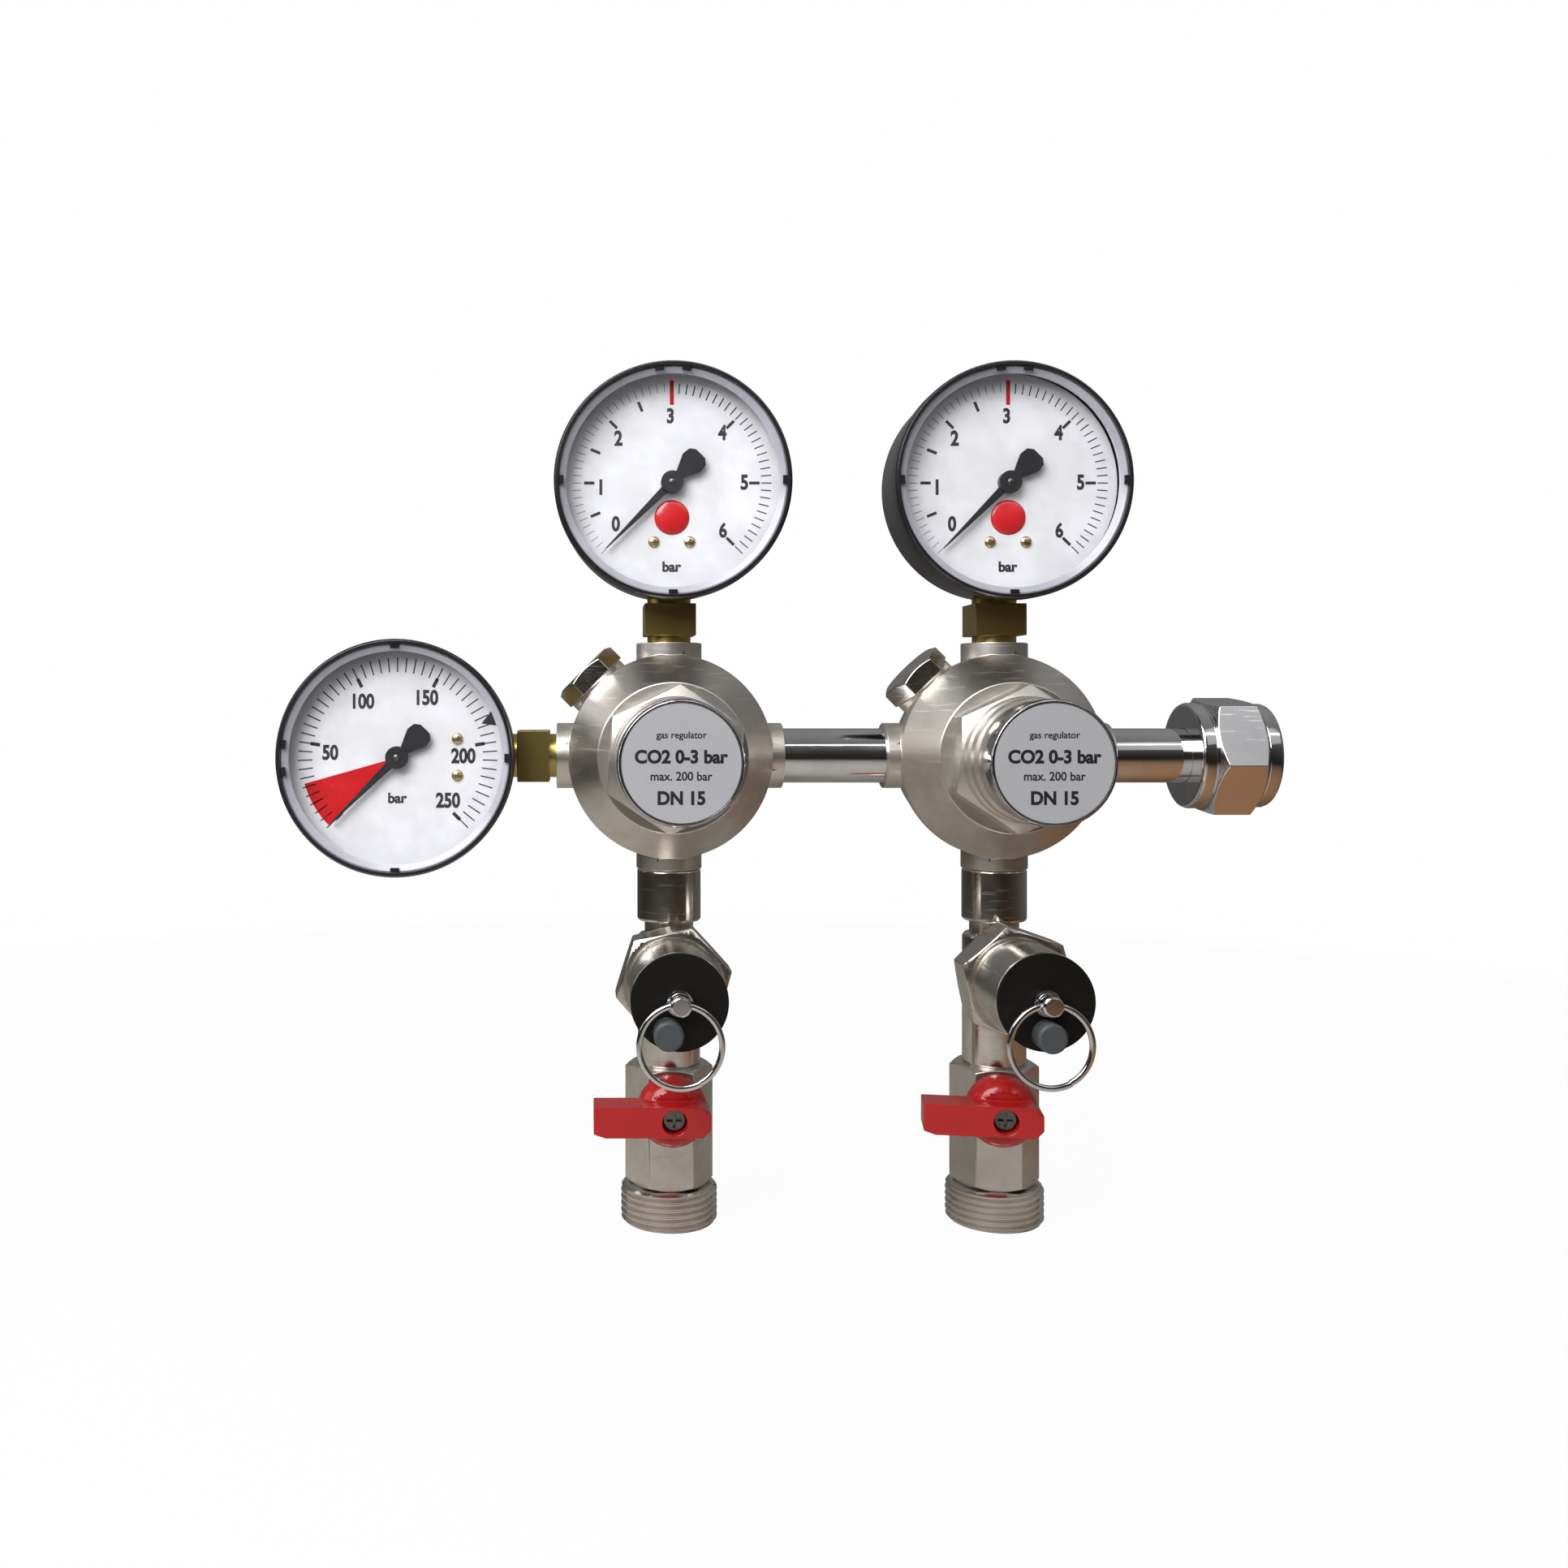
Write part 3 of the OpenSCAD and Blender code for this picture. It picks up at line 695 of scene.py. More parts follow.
def make_plastics(tones):
    plastic("case lacquer", tones.case, 0.24, 1500, 0.004, Coat_Weight=0.6, Coat_Roughness=0.08)
    plastic("cap plastic", tones.cap, 0.42, 2400, 0.010, Specular_IOR_Level=0.3)
    plastic("vent plastic", tones.vent, 0.5, 2400, 0.010)
    plastic("lever lacquer", tones.lever, 0.24, 900, 0.006, dusty=0.05, Specular_IOR_Level=0.4,
            Coat_Weight=0.3, Coat_Roughness=0.06)
    plastic("pointer lacquer", tones.ink, 0.4, 2400, 0.003)
    plastic("black ink", tones.ink, 0.5, 3000, 0.001)
    plastic("red ink", tones.red_ink, 0.25, 3000, 0.001, dusty=0.02, Coat_Weight=0.8, Coat_Roughness=0.04)
    # Painted reflection: the windows' clear bevel gets an opaque tone in place of the light it reflects.
    plastic("window edge painted reflection", tones.window_edge, 0.30, 1800, 0.002, Coat_Weight=0.4, Coat_Roughness=0.1)
    plastic("dial paint", tones.dial, 0.42, 2400, 0.002)
    plastic("rubber", tones.rubber, 0.6, 1800, 0.010)
    plastic("fibre", tones.fibre, 0.7, 1200, 0.020)


def make_label_foil(tones):
    """Brushed foil: the brush runs from side to side."""
    tree, shader, vector = start_material("label foil", Metallic=0.2)
    brushed = add_node(tree, "ShaderNodeMapping", {"Vector": vector, "Scale": (30, 1000, 2600)})
    lines = noise(tree, brushed.outputs["Vector"], 1.0, 3.0)
    skin = grain(tree, vector, 1400, 0.42, 0.14)
    share = times(tree, maths(tree, "ADD", lines, skin["Patches"]), 0.22)
    tone = tuple(tones.label)
    tree.links.new(mix_colours(tree, share, tone, scaled(tone, 0.72)), shader["Base Color"])
    tree.links.new(skin["Roughness"], shader["Roughness"])
    bump(tree, shader, lines, 0.25, 0.004 * MM)


def make_glass():
    """Clear window that lets the lamps' light through to the dial."""
    constants = {"Transmission_Weight": 1.0, "IOR": 1.46, "Base_Color": (1, 1, 1, 1)}
    tree, shader, vector = start_material("window glass", **constants)
    skin = grain(tree, vector, 700, 0.02, 0.02)
    tree.links.new(skin["Roughness"], shader["Roughness"])
    let_through(tree, add_node(tree, "ShaderNodeLightPath").outputs["Is Shadow Ray"])


FINISH_OF_SLOT = {
    "satin_nickel": "satin nickel left",
    "bright_nickel": "bright nickel",
    "worn_nickel": "worn nickel left",
    "chrome_pipe": "chrome pipe",
    "chrome_cap": "chrome",
    "chrome_steel": "chrome",
    "brass": "brass",
    "spring_steel": "steel",
    "rubber_plate": "rubber",
    "washer_fibre": "fibre",
    "label_foil": "label foil",
    "black_plastic": "cap plastic",
    "red_plastic": "lever lacquer",
    "gauge_steel": "case lacquer",
    "clear_window": "window glass",
    "dial_white": "dial paint",
    "pointer_black": "pointer lacquer",
}


class REGULATOR_OT_finishes(bpy.types.Operator):
    """Makes the shared node groups and the materials, and gives them to the frame's parts"""

    bl_idname = "regulator.finishes"
    bl_label = "Finishes"

    def execute(self, context):
        make_grain_group()
        make_scratch_group()
        make_turning_group()
        make_wear_group()
        make_dust_group()
        tones = context.scene.regulator_finish
        make_metals(tones)
        make_worn_nickel(tones)
        make_plastics(tones)
        make_label_foil(tones)
        make_glass()
        for node, part in frame["nodes"].items():
            for slot in part.material_slots:
                slot.material = bpy.data.materials[FINISH_OF_SLOT[slot_of(node)]]
        return {"FINISHED"}


class REGULATOR_OT_bodies(bpy.types.Operator):
    """Rounds the edges of the regulator bodies, bonnets and port plugs"""

    bl_idname = "regulator.bodies"
    bl_label = "Bodies and bonnets"

    def execute(self, context):
        edge = context.scene.regulator_edge.machined
        for side in SIDES:
            for node, finish in (("body", "satin"), ("bonnet", "satin"), ("port_plug", "worn")):
                soften(f"{side}_{node}", edge, f"{finish} nickel {side}")
        return {"FINISHED"}


# The cutter of the union nut's thread: its inner side, where it starts to narrow, and the groove's bottom.
NUT_THREAD = (9.0 * MM, 9.9 * MM, 10.9 * MM)
NUT_THREAD_DEEP = 11 * MM


class REGULATOR_OT_pipes(bpy.types.Operator):
    """Rounds the edges of the pipes and cuts the thread into the union nut"""

    bl_idname = "regulator.pipes"
    bl_label = "Pipes and union nut"

    def execute(self, context):
        scene = context.scene
        edge = scene.regulator_edge.machined
        for node in ("link_pipe", "inlet_pipe"):
            soften(node, edge, "chrome pipe")
        nut = clean_copy("inlet_nut", "union_nut_threaded")
        round_edges(nut, edge)
        tool = thread_cutter(*NUT_THREAD, turns=7, pitch=scene.regulator_thread.pitch)
        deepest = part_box("inlet_nut")[BACK].x - NUT_THREAD_DEEP
        tool.data.transform(Matrix.Translation((deepest, 0, 0)) @ Matrix.Rotation(radians(90), 4, "Y"))
        cut(nut, tool)
        finish_normals(nut)
        dress(nut, "chrome pipe")
        stand_for(nut, "inlet_nut")
        return {"FINISHED"}


def thread_cutter(clear_r, open_r, root_r, turns, pitch):
    """A helical wedge along Z from the origin, to cut a thread with.

    It is wide from clear_r to open_r and narrows to root_r, the bottom of the groove.
    """
    wide = 0.44 * pitch
    narrow = 0.10 * pitch
    points = [(clear_r, 0, -wide), (open_r, 0, -wide), (root_r, 0, -narrow),
              (root_r, 0, narrow), (open_r, 0, wide), (clear_r, 0, wide)]
    wedge = outline("thread_cutter", points, closed=True)
    wind(wedge, pitch, turns, 72)
    fill_ends()
    return wedge


STEM_REACH = 5.6 * MM  # from the relief stem's tip back to just in front of the cap's face


class REGULATOR_OT_outlets(bpy.types.Operator):
    """Rounds the tees, relief valves and ball valves, and cuts the outlet threads"""

    bl_idname = "regulator.outlets"
    bl_label = "Outlet lines"

    def execute(self, context):
        scene = context.scene
        edge = scene.regulator_edge.machined
        for side in SIDES:
            soften(f"{side}_outlet_tee", edge, "bright nickel")
            soften(f"{side}_relief_body", edge, f"turned nickel {side}")
            soften(f"{side}_valve_body", edge, "matt nickel")
            soften(f"{side}_relief_stem", scene.regulator_edge.thin, "chrome")
            cap = soften(f"{side}_relief_cap", scene.regulator_edge.thin, "cap plastic")
            self.dress_vent(cap, side)
        self.thread_outlets(scene.regulator_thread, edge)
        return {"FINISHED"}

    def dress_vent(self, cap, side):
        """The vent plug, which is what the cap has in front of its face, gets its own finish."""
        cap.data.materials.append(bpy.data.materials["vent plastic"])
        cap_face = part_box(f"{side}_relief_stem")[FORE].y + STEM_REACH
        for face in cap.data.polygons:
            if face.center.y < cap_face:
                face.material_index = 1

    def thread_outlets(self, thread, edge):
        """Threads the left end piece and copies it to the right. The cutter starts outside the crests."""
        first = clean_copy("left_outlet_end", "left_outlet_thread")
        low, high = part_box("left_outlet_end")
        middle = (low + high) / 2
        crest = (high.x - low.x) / 2
        round_edges(first, edge)
        radii = (crest + 0.5 * MM, crest + 0.08 * MM, crest - thread.depth)
        tool = thread_cutter(*radii, turns=6, pitch=thread.pitch)
        tool.data.transform(Matrix.Translation((middle.x, middle.y, low.z - 0.6 * thread.pitch)))
        cut(first, tool)
        finish_normals(first, 30)
        dress(first, "bright nickel")
        stand_on_both_sides(first, "outlet_end", "right_outlet_thread")


WIRE_FLATNESS = 1.75
WIRE_END = -62  # where the ring's wire begins and ends, in degrees anticlockwise from the right


class REGULATOR_OT_rings(bpy.types.Operator):
    """Winds the split rings that open the relief valves"""

    bl_idname = "regulator.rings"
    bl_label = "Pull rings"

    def execute(self, context):
        turns = context.scene.regulator_ring.turns
        low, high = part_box("left_pull_ring")
        middle = (low + high) / 2
        depth = high.y - low.y
        strand = depth / (turns * 2.12)  # half the wire's thickness, which leaves the turns a gap
        mean_r = (high.x - low.x) / 2 - depth / 2
        deselect()
        bpy.ops.mesh.primitive_circle_add(vertices=16, radius=strand, location=(mean_r, 0, 0),
                                          rotation=(radians(90), 0, 0))
        first = bpy.context.object
        first.name = "left_split_ring"
        apply_place(first)
        with edit_mode():
            bpy.ops.transform.resize(value=(WIRE_FLATNESS, 1, 1), center_override=(mean_r, 0, 0))
        wind(first, (depth - 2 * strand) / turns, turns, 96)
        fill_ends()
        heights = [v.co.z for v in first.data.vertices]
        lower = Matrix.Translation((0, 0, -(max(heights) + min(heights)) / 2))
        turn = Matrix.Rotation(radians(WIRE_END), 4, "Z")
        first.data.transform(Matrix.Translation(middle) @ FRONT @ turn @ lower)
        finish_normals(first, 50)
        dress(first, "chrome")
        stand_on_both_sides(first, "pull_ring", "right_split_ring")
        return {"FINISHED"}


class REGULATOR_OT_springs(bpy.types.Operator):
    """Puts smoothed steel copies in place of the springs inside"""

    bl_idname = "regulator.springs"
    bl_label = "Springs"

    def execute(self, context):
        travel = context.scene.regulator_travel
        for side in SIDES:
            self.shorten(f"{side}_main_spring", f"{side}_adjuster_turn", BACK, travel.button)
            self.shorten(f"{side}_relief_spring", f"{side}_relief_pull", FORE, travel.relief)
        return {"FINISHED"}

    def shorten(self, node, joint, fixed_end, travel):
        """A steel copy of a spring, which stands for it; the joint, the fixed end and the travel are not
        used.
        """
        coil = clean_copy(node, f"{node}_coil")
        finish_normals(coil)
        dress(coil, "steel")
        stand_for(coil, node)
        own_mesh(coil)


class REGULATOR_OT_levers(bpy.types.Operator):
    """Rounds the ball valve levers and their screws"""

    bl_idname = "regulator.levers"
    bl_label = "Valve levers"

    def execute(self, context):
        edge = context.scene.regulator_edge
        for side in SIDES:
            soften(f"{side}_handle", edge.moulded, "lever lacquer", segments=3, angle=50)
            soften(f"{side}_handle_screw", edge.thin, "steel")
        return {"FINISHED"}


# Lines of the label: text, height above the middle and height of the letters in mm, width and weight.
LABEL = (
    ("gas regulator", 6.6, 2.2, 1.0, 0.02),
    ("CO2 0-3 bar", 1.6, 3.4, 0.98, 0.04),
    ("max. 200 bar", -3.1, 2.2, 0.95, 0.02),
    ("DN 15", -8.4, 3.4, 0.95, 0.04),
)


class REGULATOR_OT_caps(bpy.types.Operator):
    """Rounds the adjusting caps and prints their labels"""

    bl_idname = "regulator.caps"
    bl_label = "Adjusting caps"

    def execute(self, context):
        edge = context.scene.regulator_edge
        for side in SIDES:
            soften(f"{side}_knob", edge.thin, "chrome")
            soften(f"{side}_label", edge.thin, "label foil")
            words = [write(text, tall * MM, (0, up * MM), wide, bold) for text, up, tall, wide, bold in LABEL]
            printed = join(f"{side}_label_print", words)
            printed.data.transform(front_of(f"{side}_label"))
            dress(printed, "black ink")
            go_with(printed, f"{side}_label")
        return {"FINISHED"}


INK = 0.03 * MM


def write(text, height, spot, wide, bold):
    """Letters that lie on the XY plane with their middle at a spot, as thick as the ink.

    wide is their width against the font's own, and bold how far they grow, against their height.
    """
    deselect()
    bpy.ops.object.text_add()
    piece = bpy.context.object
    piece.data.body = text
    piece.data.align_x = "CENTER"
    piece.data.size = height
    piece.data.offset = bold * height
    piece.data.extrude = INK / 2
    piece.data.resolution_u = 6
    bpy.ops.object.convert(target="MESH")
    with edit_mode():
        bpy.ops.mesh.remove_doubles(threshold=0.001 * MM)
    xs = [v.co.x for v in piece.data.vertices]
    ys = [v.co.y for v in piece.data.vertices]
    middle = Vector(((min(xs) + max(xs)) / 2, (min(ys) + max(ys)) / 2, 0))
    grow = height / (max(ys) - min(ys))
    piece.data.transform(Matrix.Translation(-middle))
    piece.data.transform(Matrix.Diagonal((grow * wide, grow, 1, 1)))
    piece.data.transform(Matrix.Translation((spot[0], spot[1], 0)))
    return piece


def mark(size, degrees):
    """A straight mark at an angle counted anticlockwise from the right.

    Its size is its inner radius, outer radius and width in millimetres.
    """
    r0, r1, width = (part * MM for part in size)
    deselect()
    bpy.ops.mesh.primitive_cube_add(size=1, location=((r0 + r1) / 2, 0, 0), scale=(r1 - r0, width, INK))
    piece = bpy.context.object
    apply_place(piece)
    piece.data.transform(Matrix.Rotation(radians(degrees), 4, "Z"))
    return piece


def marks(size, angles):
    """Equal marks at many angles: one is modelled, the rest are copies."""
    first = mark(size, angles[0])
    turns = [Matrix.Rotation(radians(angle - angles[0]), 4, "Z") for angle in angles[1:]]
    return [first] + [copy_mesh(first, "mark", turn) for turn in turns]


def swept_print(r0, r1, start, sweep):
    """A flat print between two radii, swept clockwise from a start angle."""
    piece = outline("sweep", [(r0, 0, 0), (r1, 0, 0)])
    with edit_mode():
        bpy.ops.mesh.spin(steps=8, angle=radians(sweep), center=(0, 0, 0), axis=(0, 0, 1))
        bpy.ops.mesh.select_all(action="SELECT")
        bpy.ops.mesh.remove_doubles(threshold=0.001 * MM)
        bpy.ops.mesh.extrude_region_move(TRANSFORM_OT_translate={"value": (0, 0, INK / 2)})
        bpy.ops.mesh.select_all(action="SELECT")
        bpy.ops.mesh.normals_make_consistent(inside=False)
    piece.data.transform(Matrix.Rotation(radians(start), 4, "Z"))
    return piece


def lathe(name, profile):
    """A closed profile of (radius, height) in millimetres, turned once about Z."""
    piece = outline(name, [(r * MM, 0, z * MM) for r, z in profile], closed=True)
    wind(piece, 0, 1, 96)
    with edit_mode():
        bpy.ops.mesh.remove_doubles(threshold=0.001 * MM)
        bpy.ops.mesh.normals_make_consistent(inside=False)
    return piece


def dome(radius, height, x=0, y=0):
    """A low dome, whose lower half is sunk in what it sits on. Sizes are in millimetres."""
    deselect()
    bpy.ops.mesh.primitive_uv_sphere_add(segments=48, ring_count=24, radius=radius * MM,
                                         location=(x * MM, y * MM, 0), scale=(1, 1, height / radius))
    piece = bpy.context.object
    apply_place(piece)
    return piece


SCALE_START = 225  # degrees anticlockwise from the right
SCALE_SWEEP = 270
NUMERAL_FONT = (0.80, 0.04)  # width and weight
UNIT_FONT = (1.0, 0.04)

# Inner radius, outer radius and width of the dials' marks, in millimetres.
WORKING_FINE = (24.3, 26.7, 0.16)
WORKING_UPPER = (23.9, 26.7, 0.30)
WORKING_BOLD = (20.7, 23.5, 0.80)
LIMIT_MARK = (20.9, 27.5, 1.1)
BOTTLE_FINE = (22.8, 26.7, 0.34)
BOTTLE_BOLD = (21.0, 23.6, 0.95)

# The marked pressures, in bar: the working limit, the bottle gauge's pip and the end of its low sector.
LIMIT = 3
BOTTLE_PIP = 188
BOTTLE_LOW = 27

# Numerals with their places to the right of and above the dial's middle, in millimetres.
WORKING_NUMERALS = (
    (0, -15.0, -10.9), (1, -19.0, -1.1), (2, -14.3, 12.0), (3, -0.4, 18.0),
    (4, 13.5, 13.5), (5, 19.4, 0.2), (6, 13.7, -12.6),
)
BOTTLE_NUMERALS = (
    (50, -18.0, 1.3), (100, -9.1, 15.0), (150, 8.0, 16.0), (200, 17.6, 0.4), (250, 13.5, -11.5),
)


# The window counts heights back from the front of the rim, in millimetres.
PANE_R = 28.4
PANE_MIDDLE = -2.3
PANE_DEPTH = 1.0
WINDOW_EDGE = ((28.3, -1.8), (29.8, -1.0), (30.15, -1.1), (30.15, -3.0), (28.3, -3.0))


def at_value(value, full):
    """Angle of a pressure on a scale, counted anticlockwise from the right."""
    return SCALE_START - SCALE_SWEEP * value / full


class REGULATOR_OT_gauges(bpy.types.Operator):
    """Rounds the gauge cases and prints their dials"""

    bl_idname = "regulator.gauges"
    bl_label = "Gauges"

    def execute(self, context):
        scene = context.scene
        for gauge in GAUGES:
            soften(f"{gauge}_gauge_case", scene.regulator_edge.thin, "case lacquer")
            soften(f"{gauge}_gauge_socket", scene.regulator_edge.machined, "brass")
            soften(f"{gauge}_gauge_pointer", scene.regulator_edge.pointer, "pointer lacquer")
            self.window(gauge)
            self.pin(gauge)
        for gauge in SIDES:
            self.working_dial(gauge, scene.regulator_print)
        self.bottle_dial(scene.regulator_print)
        return {"FINISHED"}

    def lay(self, gauge, name, pieces, finish, slot="dial_white"):
        """Joins flat pieces and lays them on a gauge's dial."""
        piece = join(f"{gauge}_dial_{name}", pieces)
        bpy.ops.object.shade_smooth_by_angle(angle=radians(30))
        piece.data.transform(front_of(f"{gauge}_gauge_dial"))
        dress(piece, finish)
        go_with(piece, f"{gauge}_gauge_dial")

    def window(self, gauge):
        """A clear pane in a sloping edge whose colour is a painted reflection of the clear bevel."""
        deselect()
        bpy.ops.mesh.primitive_cylinder_add(vertices=96, radius=PANE_R * MM, depth=PANE_DEPTH * MM,
                                            location=(0, 0, PANE_MIDDLE * MM))
        pane = bpy.context.object
        pane.name = f"{gauge}_window_pane"
        apply_place(pane)
        # The sloping edge carries the painted reflection finish.
        edge = lathe(f"{gauge}_window_edge", WINDOW_EDGE)
        for piece, finish in ((pane, "window glass"), (edge, "window edge painted reflection")):
            piece.data.transform(front_of(f"{gauge}_gauge_case"))
            finish_normals(piece, 30)
            dress(piece, finish)
        stand_for(pane, f"{gauge}_gauge_window")
        go_with(edge, f"{gauge}_gauge_window")

    def pin(self, gauge):
        """The pin that the pointer's hub sits on."""
        dial = centre(f"{gauge}_gauge_dial")
        hub_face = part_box(f"{gauge}_gauge_pointer")[FORE].y
        piece = dome(0.9, 0.4)
        piece.name = f"{gauge}_pointer_pin"
        piece.data.transform(Matrix.Translation((dial.x, hub_face, dial.z)) @ FRONT)
        bpy.ops.object.shade_smooth_by_angle(angle=radians(30))
        dress(piece, "steel")
        go_with(piece, f"{gauge}_gauge_pointer")

    def lettering(self, numerals, unit_y, look):
        """A dial's numerals, and the unit at a height in millimetres."""
        words = [write(str(value), look.numeral, (x * MM, y * MM), *NUMERAL_FONT) for value, x, y in numerals]
        return words + [write("bar", look.unit, (0, unit_y * MM), *UNIT_FONT)]

    def working_dial(self, gauge, look):
        """A scale in tenths of a bar, a red limit mark, a red disc and two rivets."""
        full = look.working_full
        tenths = [at_value(n / 10, full) for n in range(61)]
        ink = marks(WORKING_FINE, tenths)
        ink += marks(WORKING_BOLD, [at_value(n, full) for n in (0.5, 1, 1.5, 2, 2.5, 4, 5, 6)])
        ink += marks(WORKING_UPPER, tenths[31:])
        ink += self.lettering(WORKING_NUMERALS, -22.4, look)
        self.lay(gauge, "scale", ink, "black ink")
        self.lay(gauge, "limit", [mark(LIMIT_MARK, at_value(LIMIT, full)), dome(4.7, 1.0, y=-9.2)], "red ink")
        self.lay(gauge, "rivets", [dome(1.6, 0.8, x, -15.8) for x in (-4.8, 4.8)], "rivet brass", "brass")

    def bottle_dial(self, look):
        """A scale in steps of 5 bar, a pip near its high end, a red sector at its low end and two rivets."""
        full = look.bottle_full
        ink = marks(BOTTLE_FINE, [at_value(n, full) for n in range(0, 251, 5)])
        ink += marks(BOTTLE_BOLD, [at_value(n, full) for n in range(0, 251, 50)])
        ink += self.lettering(BOTTLE_NUMERALS, -10.9, look)
        ink += [self.pip(at_value(BOTTLE_PIP, full))]
        self.lay("bottle", "scale", ink, "black ink")
        low_sector = swept_print(3.2 * MM, 25.9 * MM, SCALE_START, SCALE_SWEEP * BOTTLE_LOW / full)
        self.lay("bottle", "limit", [low_sector], "red ink")
        self.lay("bottle", "rivets", [dome(1.6, 0.8, 16, y) for y in (-4.9, 4.9)], "rivet brass", "brass")

    def pip(self, degrees):
        """A small triangle that points inwards from the dial's edge."""
        deselect()
        bpy.ops.mesh.primitive_cylinder_add(vertices=3, radius=2.4 * MM, depth=INK,
                                            location=(26.6 * MM, 0, 0), rotation=(0, 0, radians(90)))
        piece = bpy.context.object
        apply_place(piece)
        piece.data.transform(Matrix.Rotation(radians(degrees), 4, "Z"))
        return piece


# ---- Stage ----


# Tones of the studio, from straight away from its brightest side at 0 to straight towards it at 1.
BRIGHTEST = (0.25, 0.35, 0.90)
STUDIO = (
    (0.35, (0.022, 0.019, 0.016, 1)),
    (0.5, (0.050, 0.046, 0.042, 1)),
    (1.0, (0.26, 0.26, 0.26, 1)),
)

# The camera's lens and film width in mm, its picture's shift to the side and up, and its place in metres.
LENS = 33.17
FILM = 36
SHIFT = (0.1273, -0.0523)
CAMERA_X = -0.1754
CAMERA_Z = 0.0148


class REGULATOR_OT_stage(bpy.types.Operator):
    """Sets up the floor, the studio light and the camera"""

    bl_idname = "regulator.stage"
    bl_label = "Stage"

    def execute(self, context):
        stage = context.scene.regulator_stage
        self.make_floor(stage)
        self.make_world(context.scene)
        self.make_lights(stage)
        self.make_camera(context.scene, stage)
        context.scene.view_settings.view_transform = "Standard"
        return {"FINISHED"}

    def make_floor(self, stage):
        """A pale floor that fades out and that the camera hardly sees. Metal mirrors it in two tones."""
        low, high = cad_box
        place = ((low[0] + high[0]) / 2, 0, low[2] - stage.drop)
        deselect()
        bpy.ops.mesh.primitive_circle_add(vertices=96, radius=stage.floor_reach * 1.2, fill_type="NGON",
                                          location=place)
        floor = bpy.context.object
        floor.name = "floor"
        apply_place(floor)
        tree, shader, vector = start_material("floor paint", Roughness=0.8)
        skin = grain(tree, vector, 500, 0.8, 0.05)
        tone = tuple(stage.floor)
        seen = mix_colours(tree, times(tree, skin["Patches"], 0.1), tone, scaled(tone, 0.97))
        aside = add_node(tree, "ShaderNodeSeparateXYZ", {"Vector": vector}).outputs["X"]
        rightwards = step_up(tree, aside, -0.03, 0.04)
        mirrored = mix_colours(tree, rightwards, tuple(stage.mirrored_left), tuple(stage.mirrored_right))
        rays = add_node(tree, "ShaderNodeLightPath").outputs
        tree.links.new(mix_colours(tree, rays["Is Glossy Ray"], seen, mirrored), shader["Base Color"])
        centred = seen_from(tree, vector, place)
        away = add_node(tree, "ShaderNodeVectorMath", {0: centred}, operation="LENGTH").outputs["Value"]
        fade = step_up(tree, away, 0.05, stage.floor_reach)
        let_through(tree, maths(tree, "MAXIMUM", fade, times(tree, rays["Is Camera Ray"], 0.96)))
        dress(floor, "floor paint")

    def make_world(self, scene):
        """White to the camera. To everything else, a studio that is bright above and dark below."""
        world = bpy.data.worlds.new("studio")
        world.use_nodes = True
        scene.world = world
        tree = world.node_tree
        tree.nodes.clear()
        ray = add_node(tree, "ShaderNodeTexCoord").outputs["Generated"]
        brightest = Vector(BRIGHTEST).normalized()
        towards = add_node(tree, "ShaderNodeVectorMath", {0: ray, 1: brightest}, operation="DOT_PRODUCT")
        share = maths(tree, "MULTIPLY_ADD", towards.outputs["Value"], 0.5, 0.5)
        ramp = add_node(tree, "ShaderNodeValToRGB", {"Fac": share})
        stops = ramp.color_ramp.elements
        stops.remove(stops[1])
        stops[0].position, stops[0].color = STUDIO[0]
        for position, tone in STUDIO[1:]:
            stops.new(position).color = tone
        lit = add_node(tree, "ShaderNodeBackground", {"Color": ramp.outputs["Color"]}).outputs["Background"]
        seen = add_node(tree, "ShaderNodeBackground", {"Color": (1, 1, 1, 1)}).outputs["Background"]
        eye = add_node(tree, "ShaderNodeLightPath").outputs["Is Camera Ray"]
        mixed = add_node(tree, "ShaderNodeMixShader", {"Fac": eye, 1: lit, 2: seen})
        add_node(tree, "ShaderNodeOutputWorld", {"Surface": mixed.outputs["Shader"]})

    def make_lights(self, stage):
        """Lamps that look at the part's middle: name, place from there, width, height and power."""
        middle = (Vector(cad_box[0]) + Vector(cad_box[1])) / 2
        for name, away, width, height, watts in (
            ("key", (-0.45, -0.55, 0.60), 0.70, 0.70, stage.key),
            ("side", (-0.75, 0.05, 0.35), 0.50, 0.50, stage.side),
            ("fill", (0.45, -0.62, 0.60), 0.50, 0.50, stage.fill),
            ("strip", (0.10, -0.55, 0.60), 1.30, 0.05, stage.strip),
        ):
            lamp = bpy.data.lights.new(name, "AREA")
            lamp.shape = "RECTANGLE"
            lamp.energy = watts
            lamp.size = width
            lamp.size_y = height
            holder = bpy.data.objects.new(name, lamp)
            bpy.context.scene.collection.objects.link(holder)
            holder.location = middle + Vector(away)
            holder.rotation_euler = (-Vector(away)).to_track_quat("-Z", "Y").to_euler()

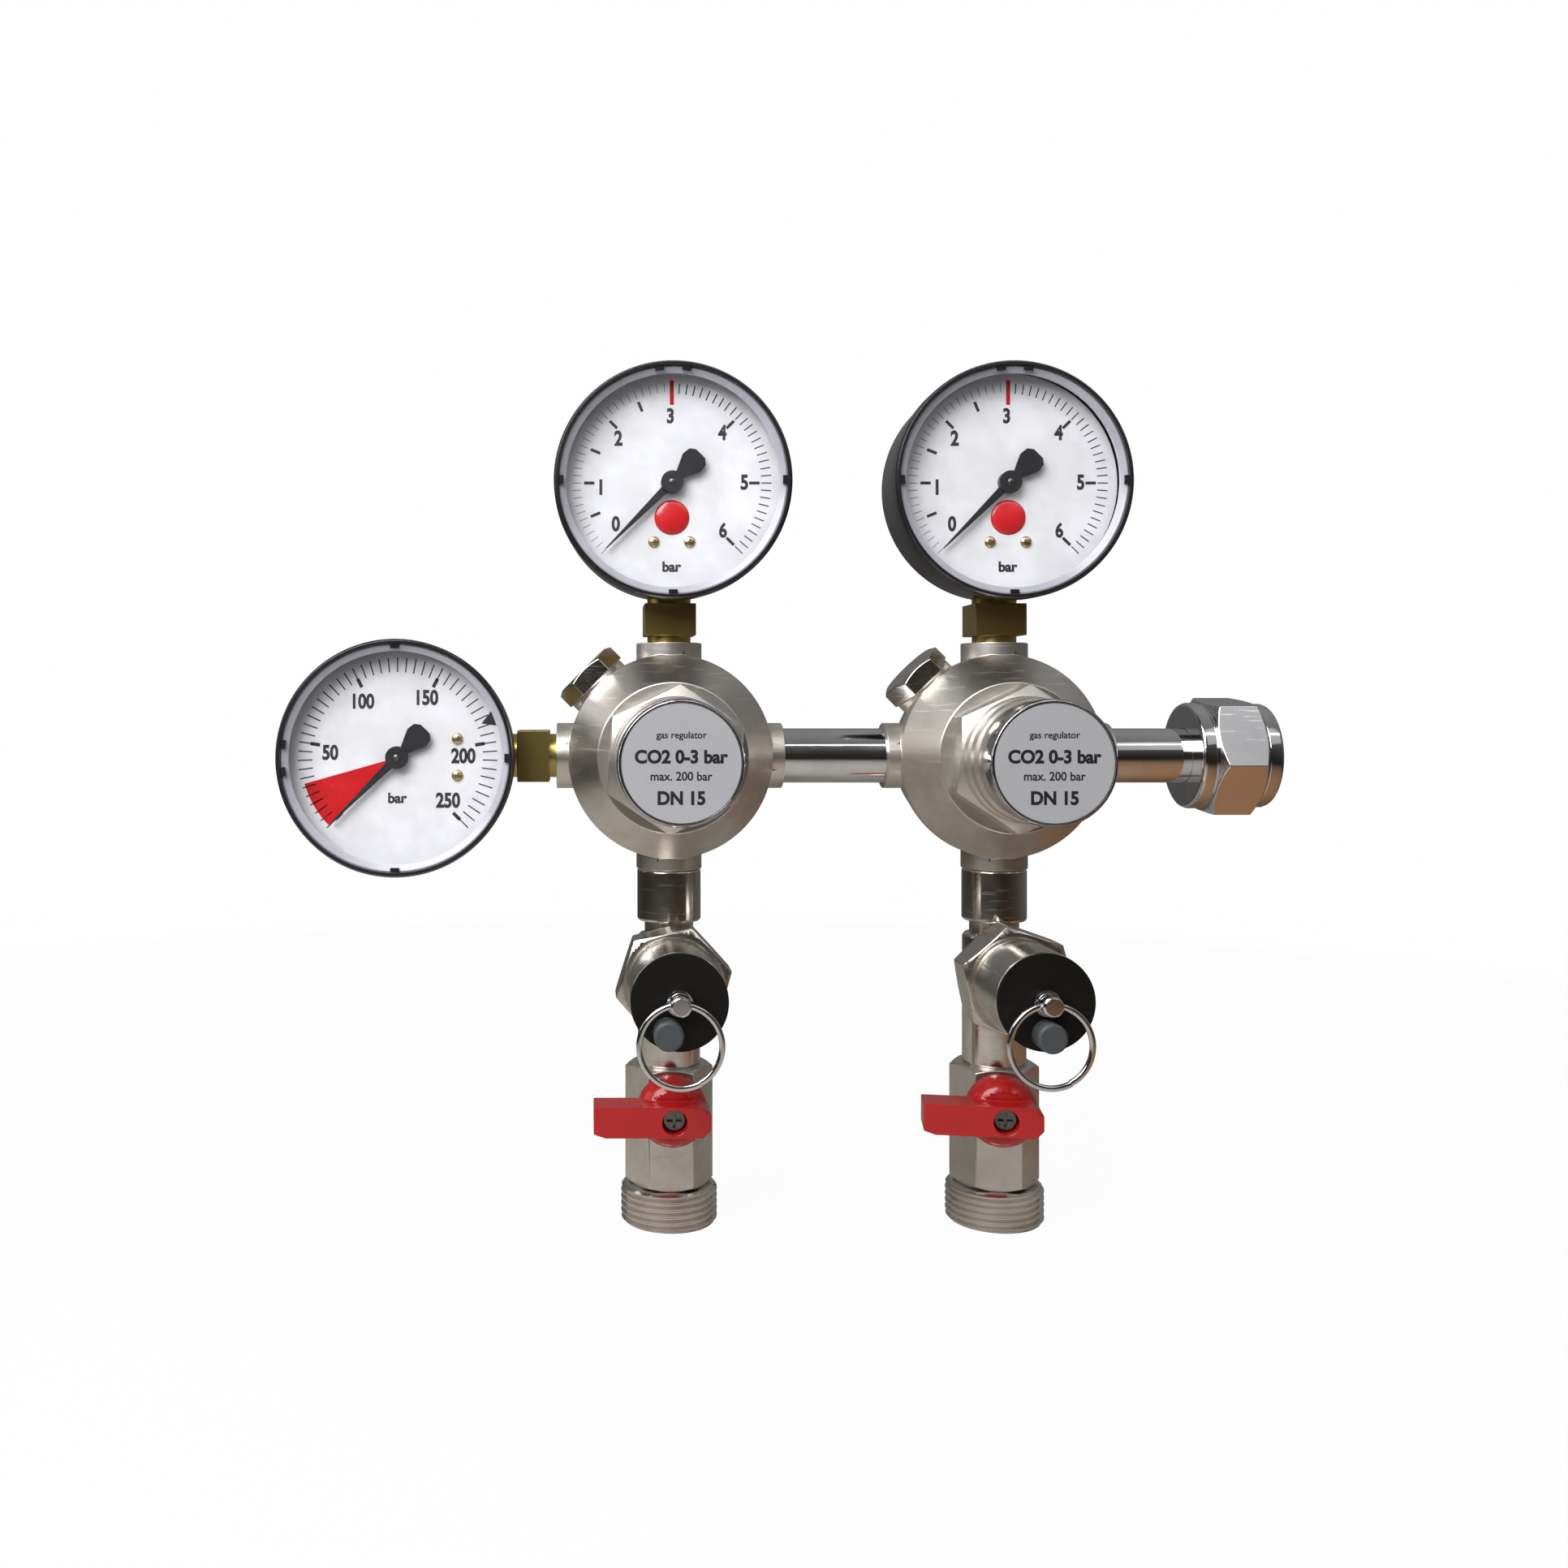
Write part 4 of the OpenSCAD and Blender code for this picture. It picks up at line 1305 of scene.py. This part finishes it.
    def make_camera(self, scene, stage):
        """Looks straight at the plane of the pipes, from a little to the left of the left body."""
        lens = bpy.data.cameras.new("camera")
        lens.sensor_width = FILM
        lens.lens = LENS
        lens.shift_x, lens.shift_y = SHIFT
        lens.clip_start = 0.01
        camera = bpy.data.objects.new("camera", lens)
        scene.collection.objects.link(camera)
        camera.location = (CAMERA_X, -stage.camera_distance, CAMERA_Z)
        camera.rotation_euler = (radians(90), 0, 0)
        scene.camera = camera


OPERATORS = (
    REGULATOR_OT_finishes,
    REGULATOR_OT_bodies,
    REGULATOR_OT_pipes,
    REGULATOR_OT_outlets,
    REGULATOR_OT_rings,
    REGULATOR_OT_springs,
    REGULATOR_OT_levers,
    REGULATOR_OT_caps,
    REGULATOR_OT_gauges,
    REGULATOR_OT_stage,
)

SETTINGS = (
    ("regulator_finish", FinishSettings),
    ("regulator_edge", EdgeSettings),
    ("regulator_print", PrintSettings),
    ("regulator_thread", ThreadSettings),
    ("regulator_ring", RingSettings),
    ("regulator_travel", TravelSettings),
    ("regulator_stage", StageSettings),
)


class REGULATOR_PT_panel(bpy.types.Panel):
    """Lists the regulator's operators"""

    bl_idname = "REGULATOR_PT_panel"
    bl_label = "Regulator"
    bl_space_type = "VIEW_3D"
    bl_region_type = "UI"
    bl_category = "Regulator"

    def draw(self, context):
        for operator in OPERATORS:
            self.layout.operator(operator.bl_idname)


def register():
    for name, group in SETTINGS:
        bpy.utils.register_class(group)
        setattr(bpy.types.Scene, name, bpy.props.PointerProperty(type=group))
    for operator in OPERATORS:
        bpy.utils.register_class(operator)
    bpy.utils.register_class(REGULATOR_PT_panel)


def unregister():
    bpy.utils.unregister_class(REGULATOR_PT_panel)
    for operator in reversed(OPERATORS):
        bpy.utils.unregister_class(operator)
    for name, group in reversed(SETTINGS):
        delattr(bpy.types.Scene, name)
        bpy.utils.unregister_class(group)


def main():
    register()
    bpy.ops.regulator.finishes()
    bpy.ops.regulator.bodies()
    bpy.ops.regulator.pipes()
    bpy.ops.regulator.outlets()
    bpy.ops.regulator.rings()
    bpy.ops.regulator.springs()
    bpy.ops.regulator.levers()
    bpy.ops.regulator.caps()
    bpy.ops.regulator.gauges()
    bpy.ops.regulator.stage()


if __name__ == "__main__":
    main()
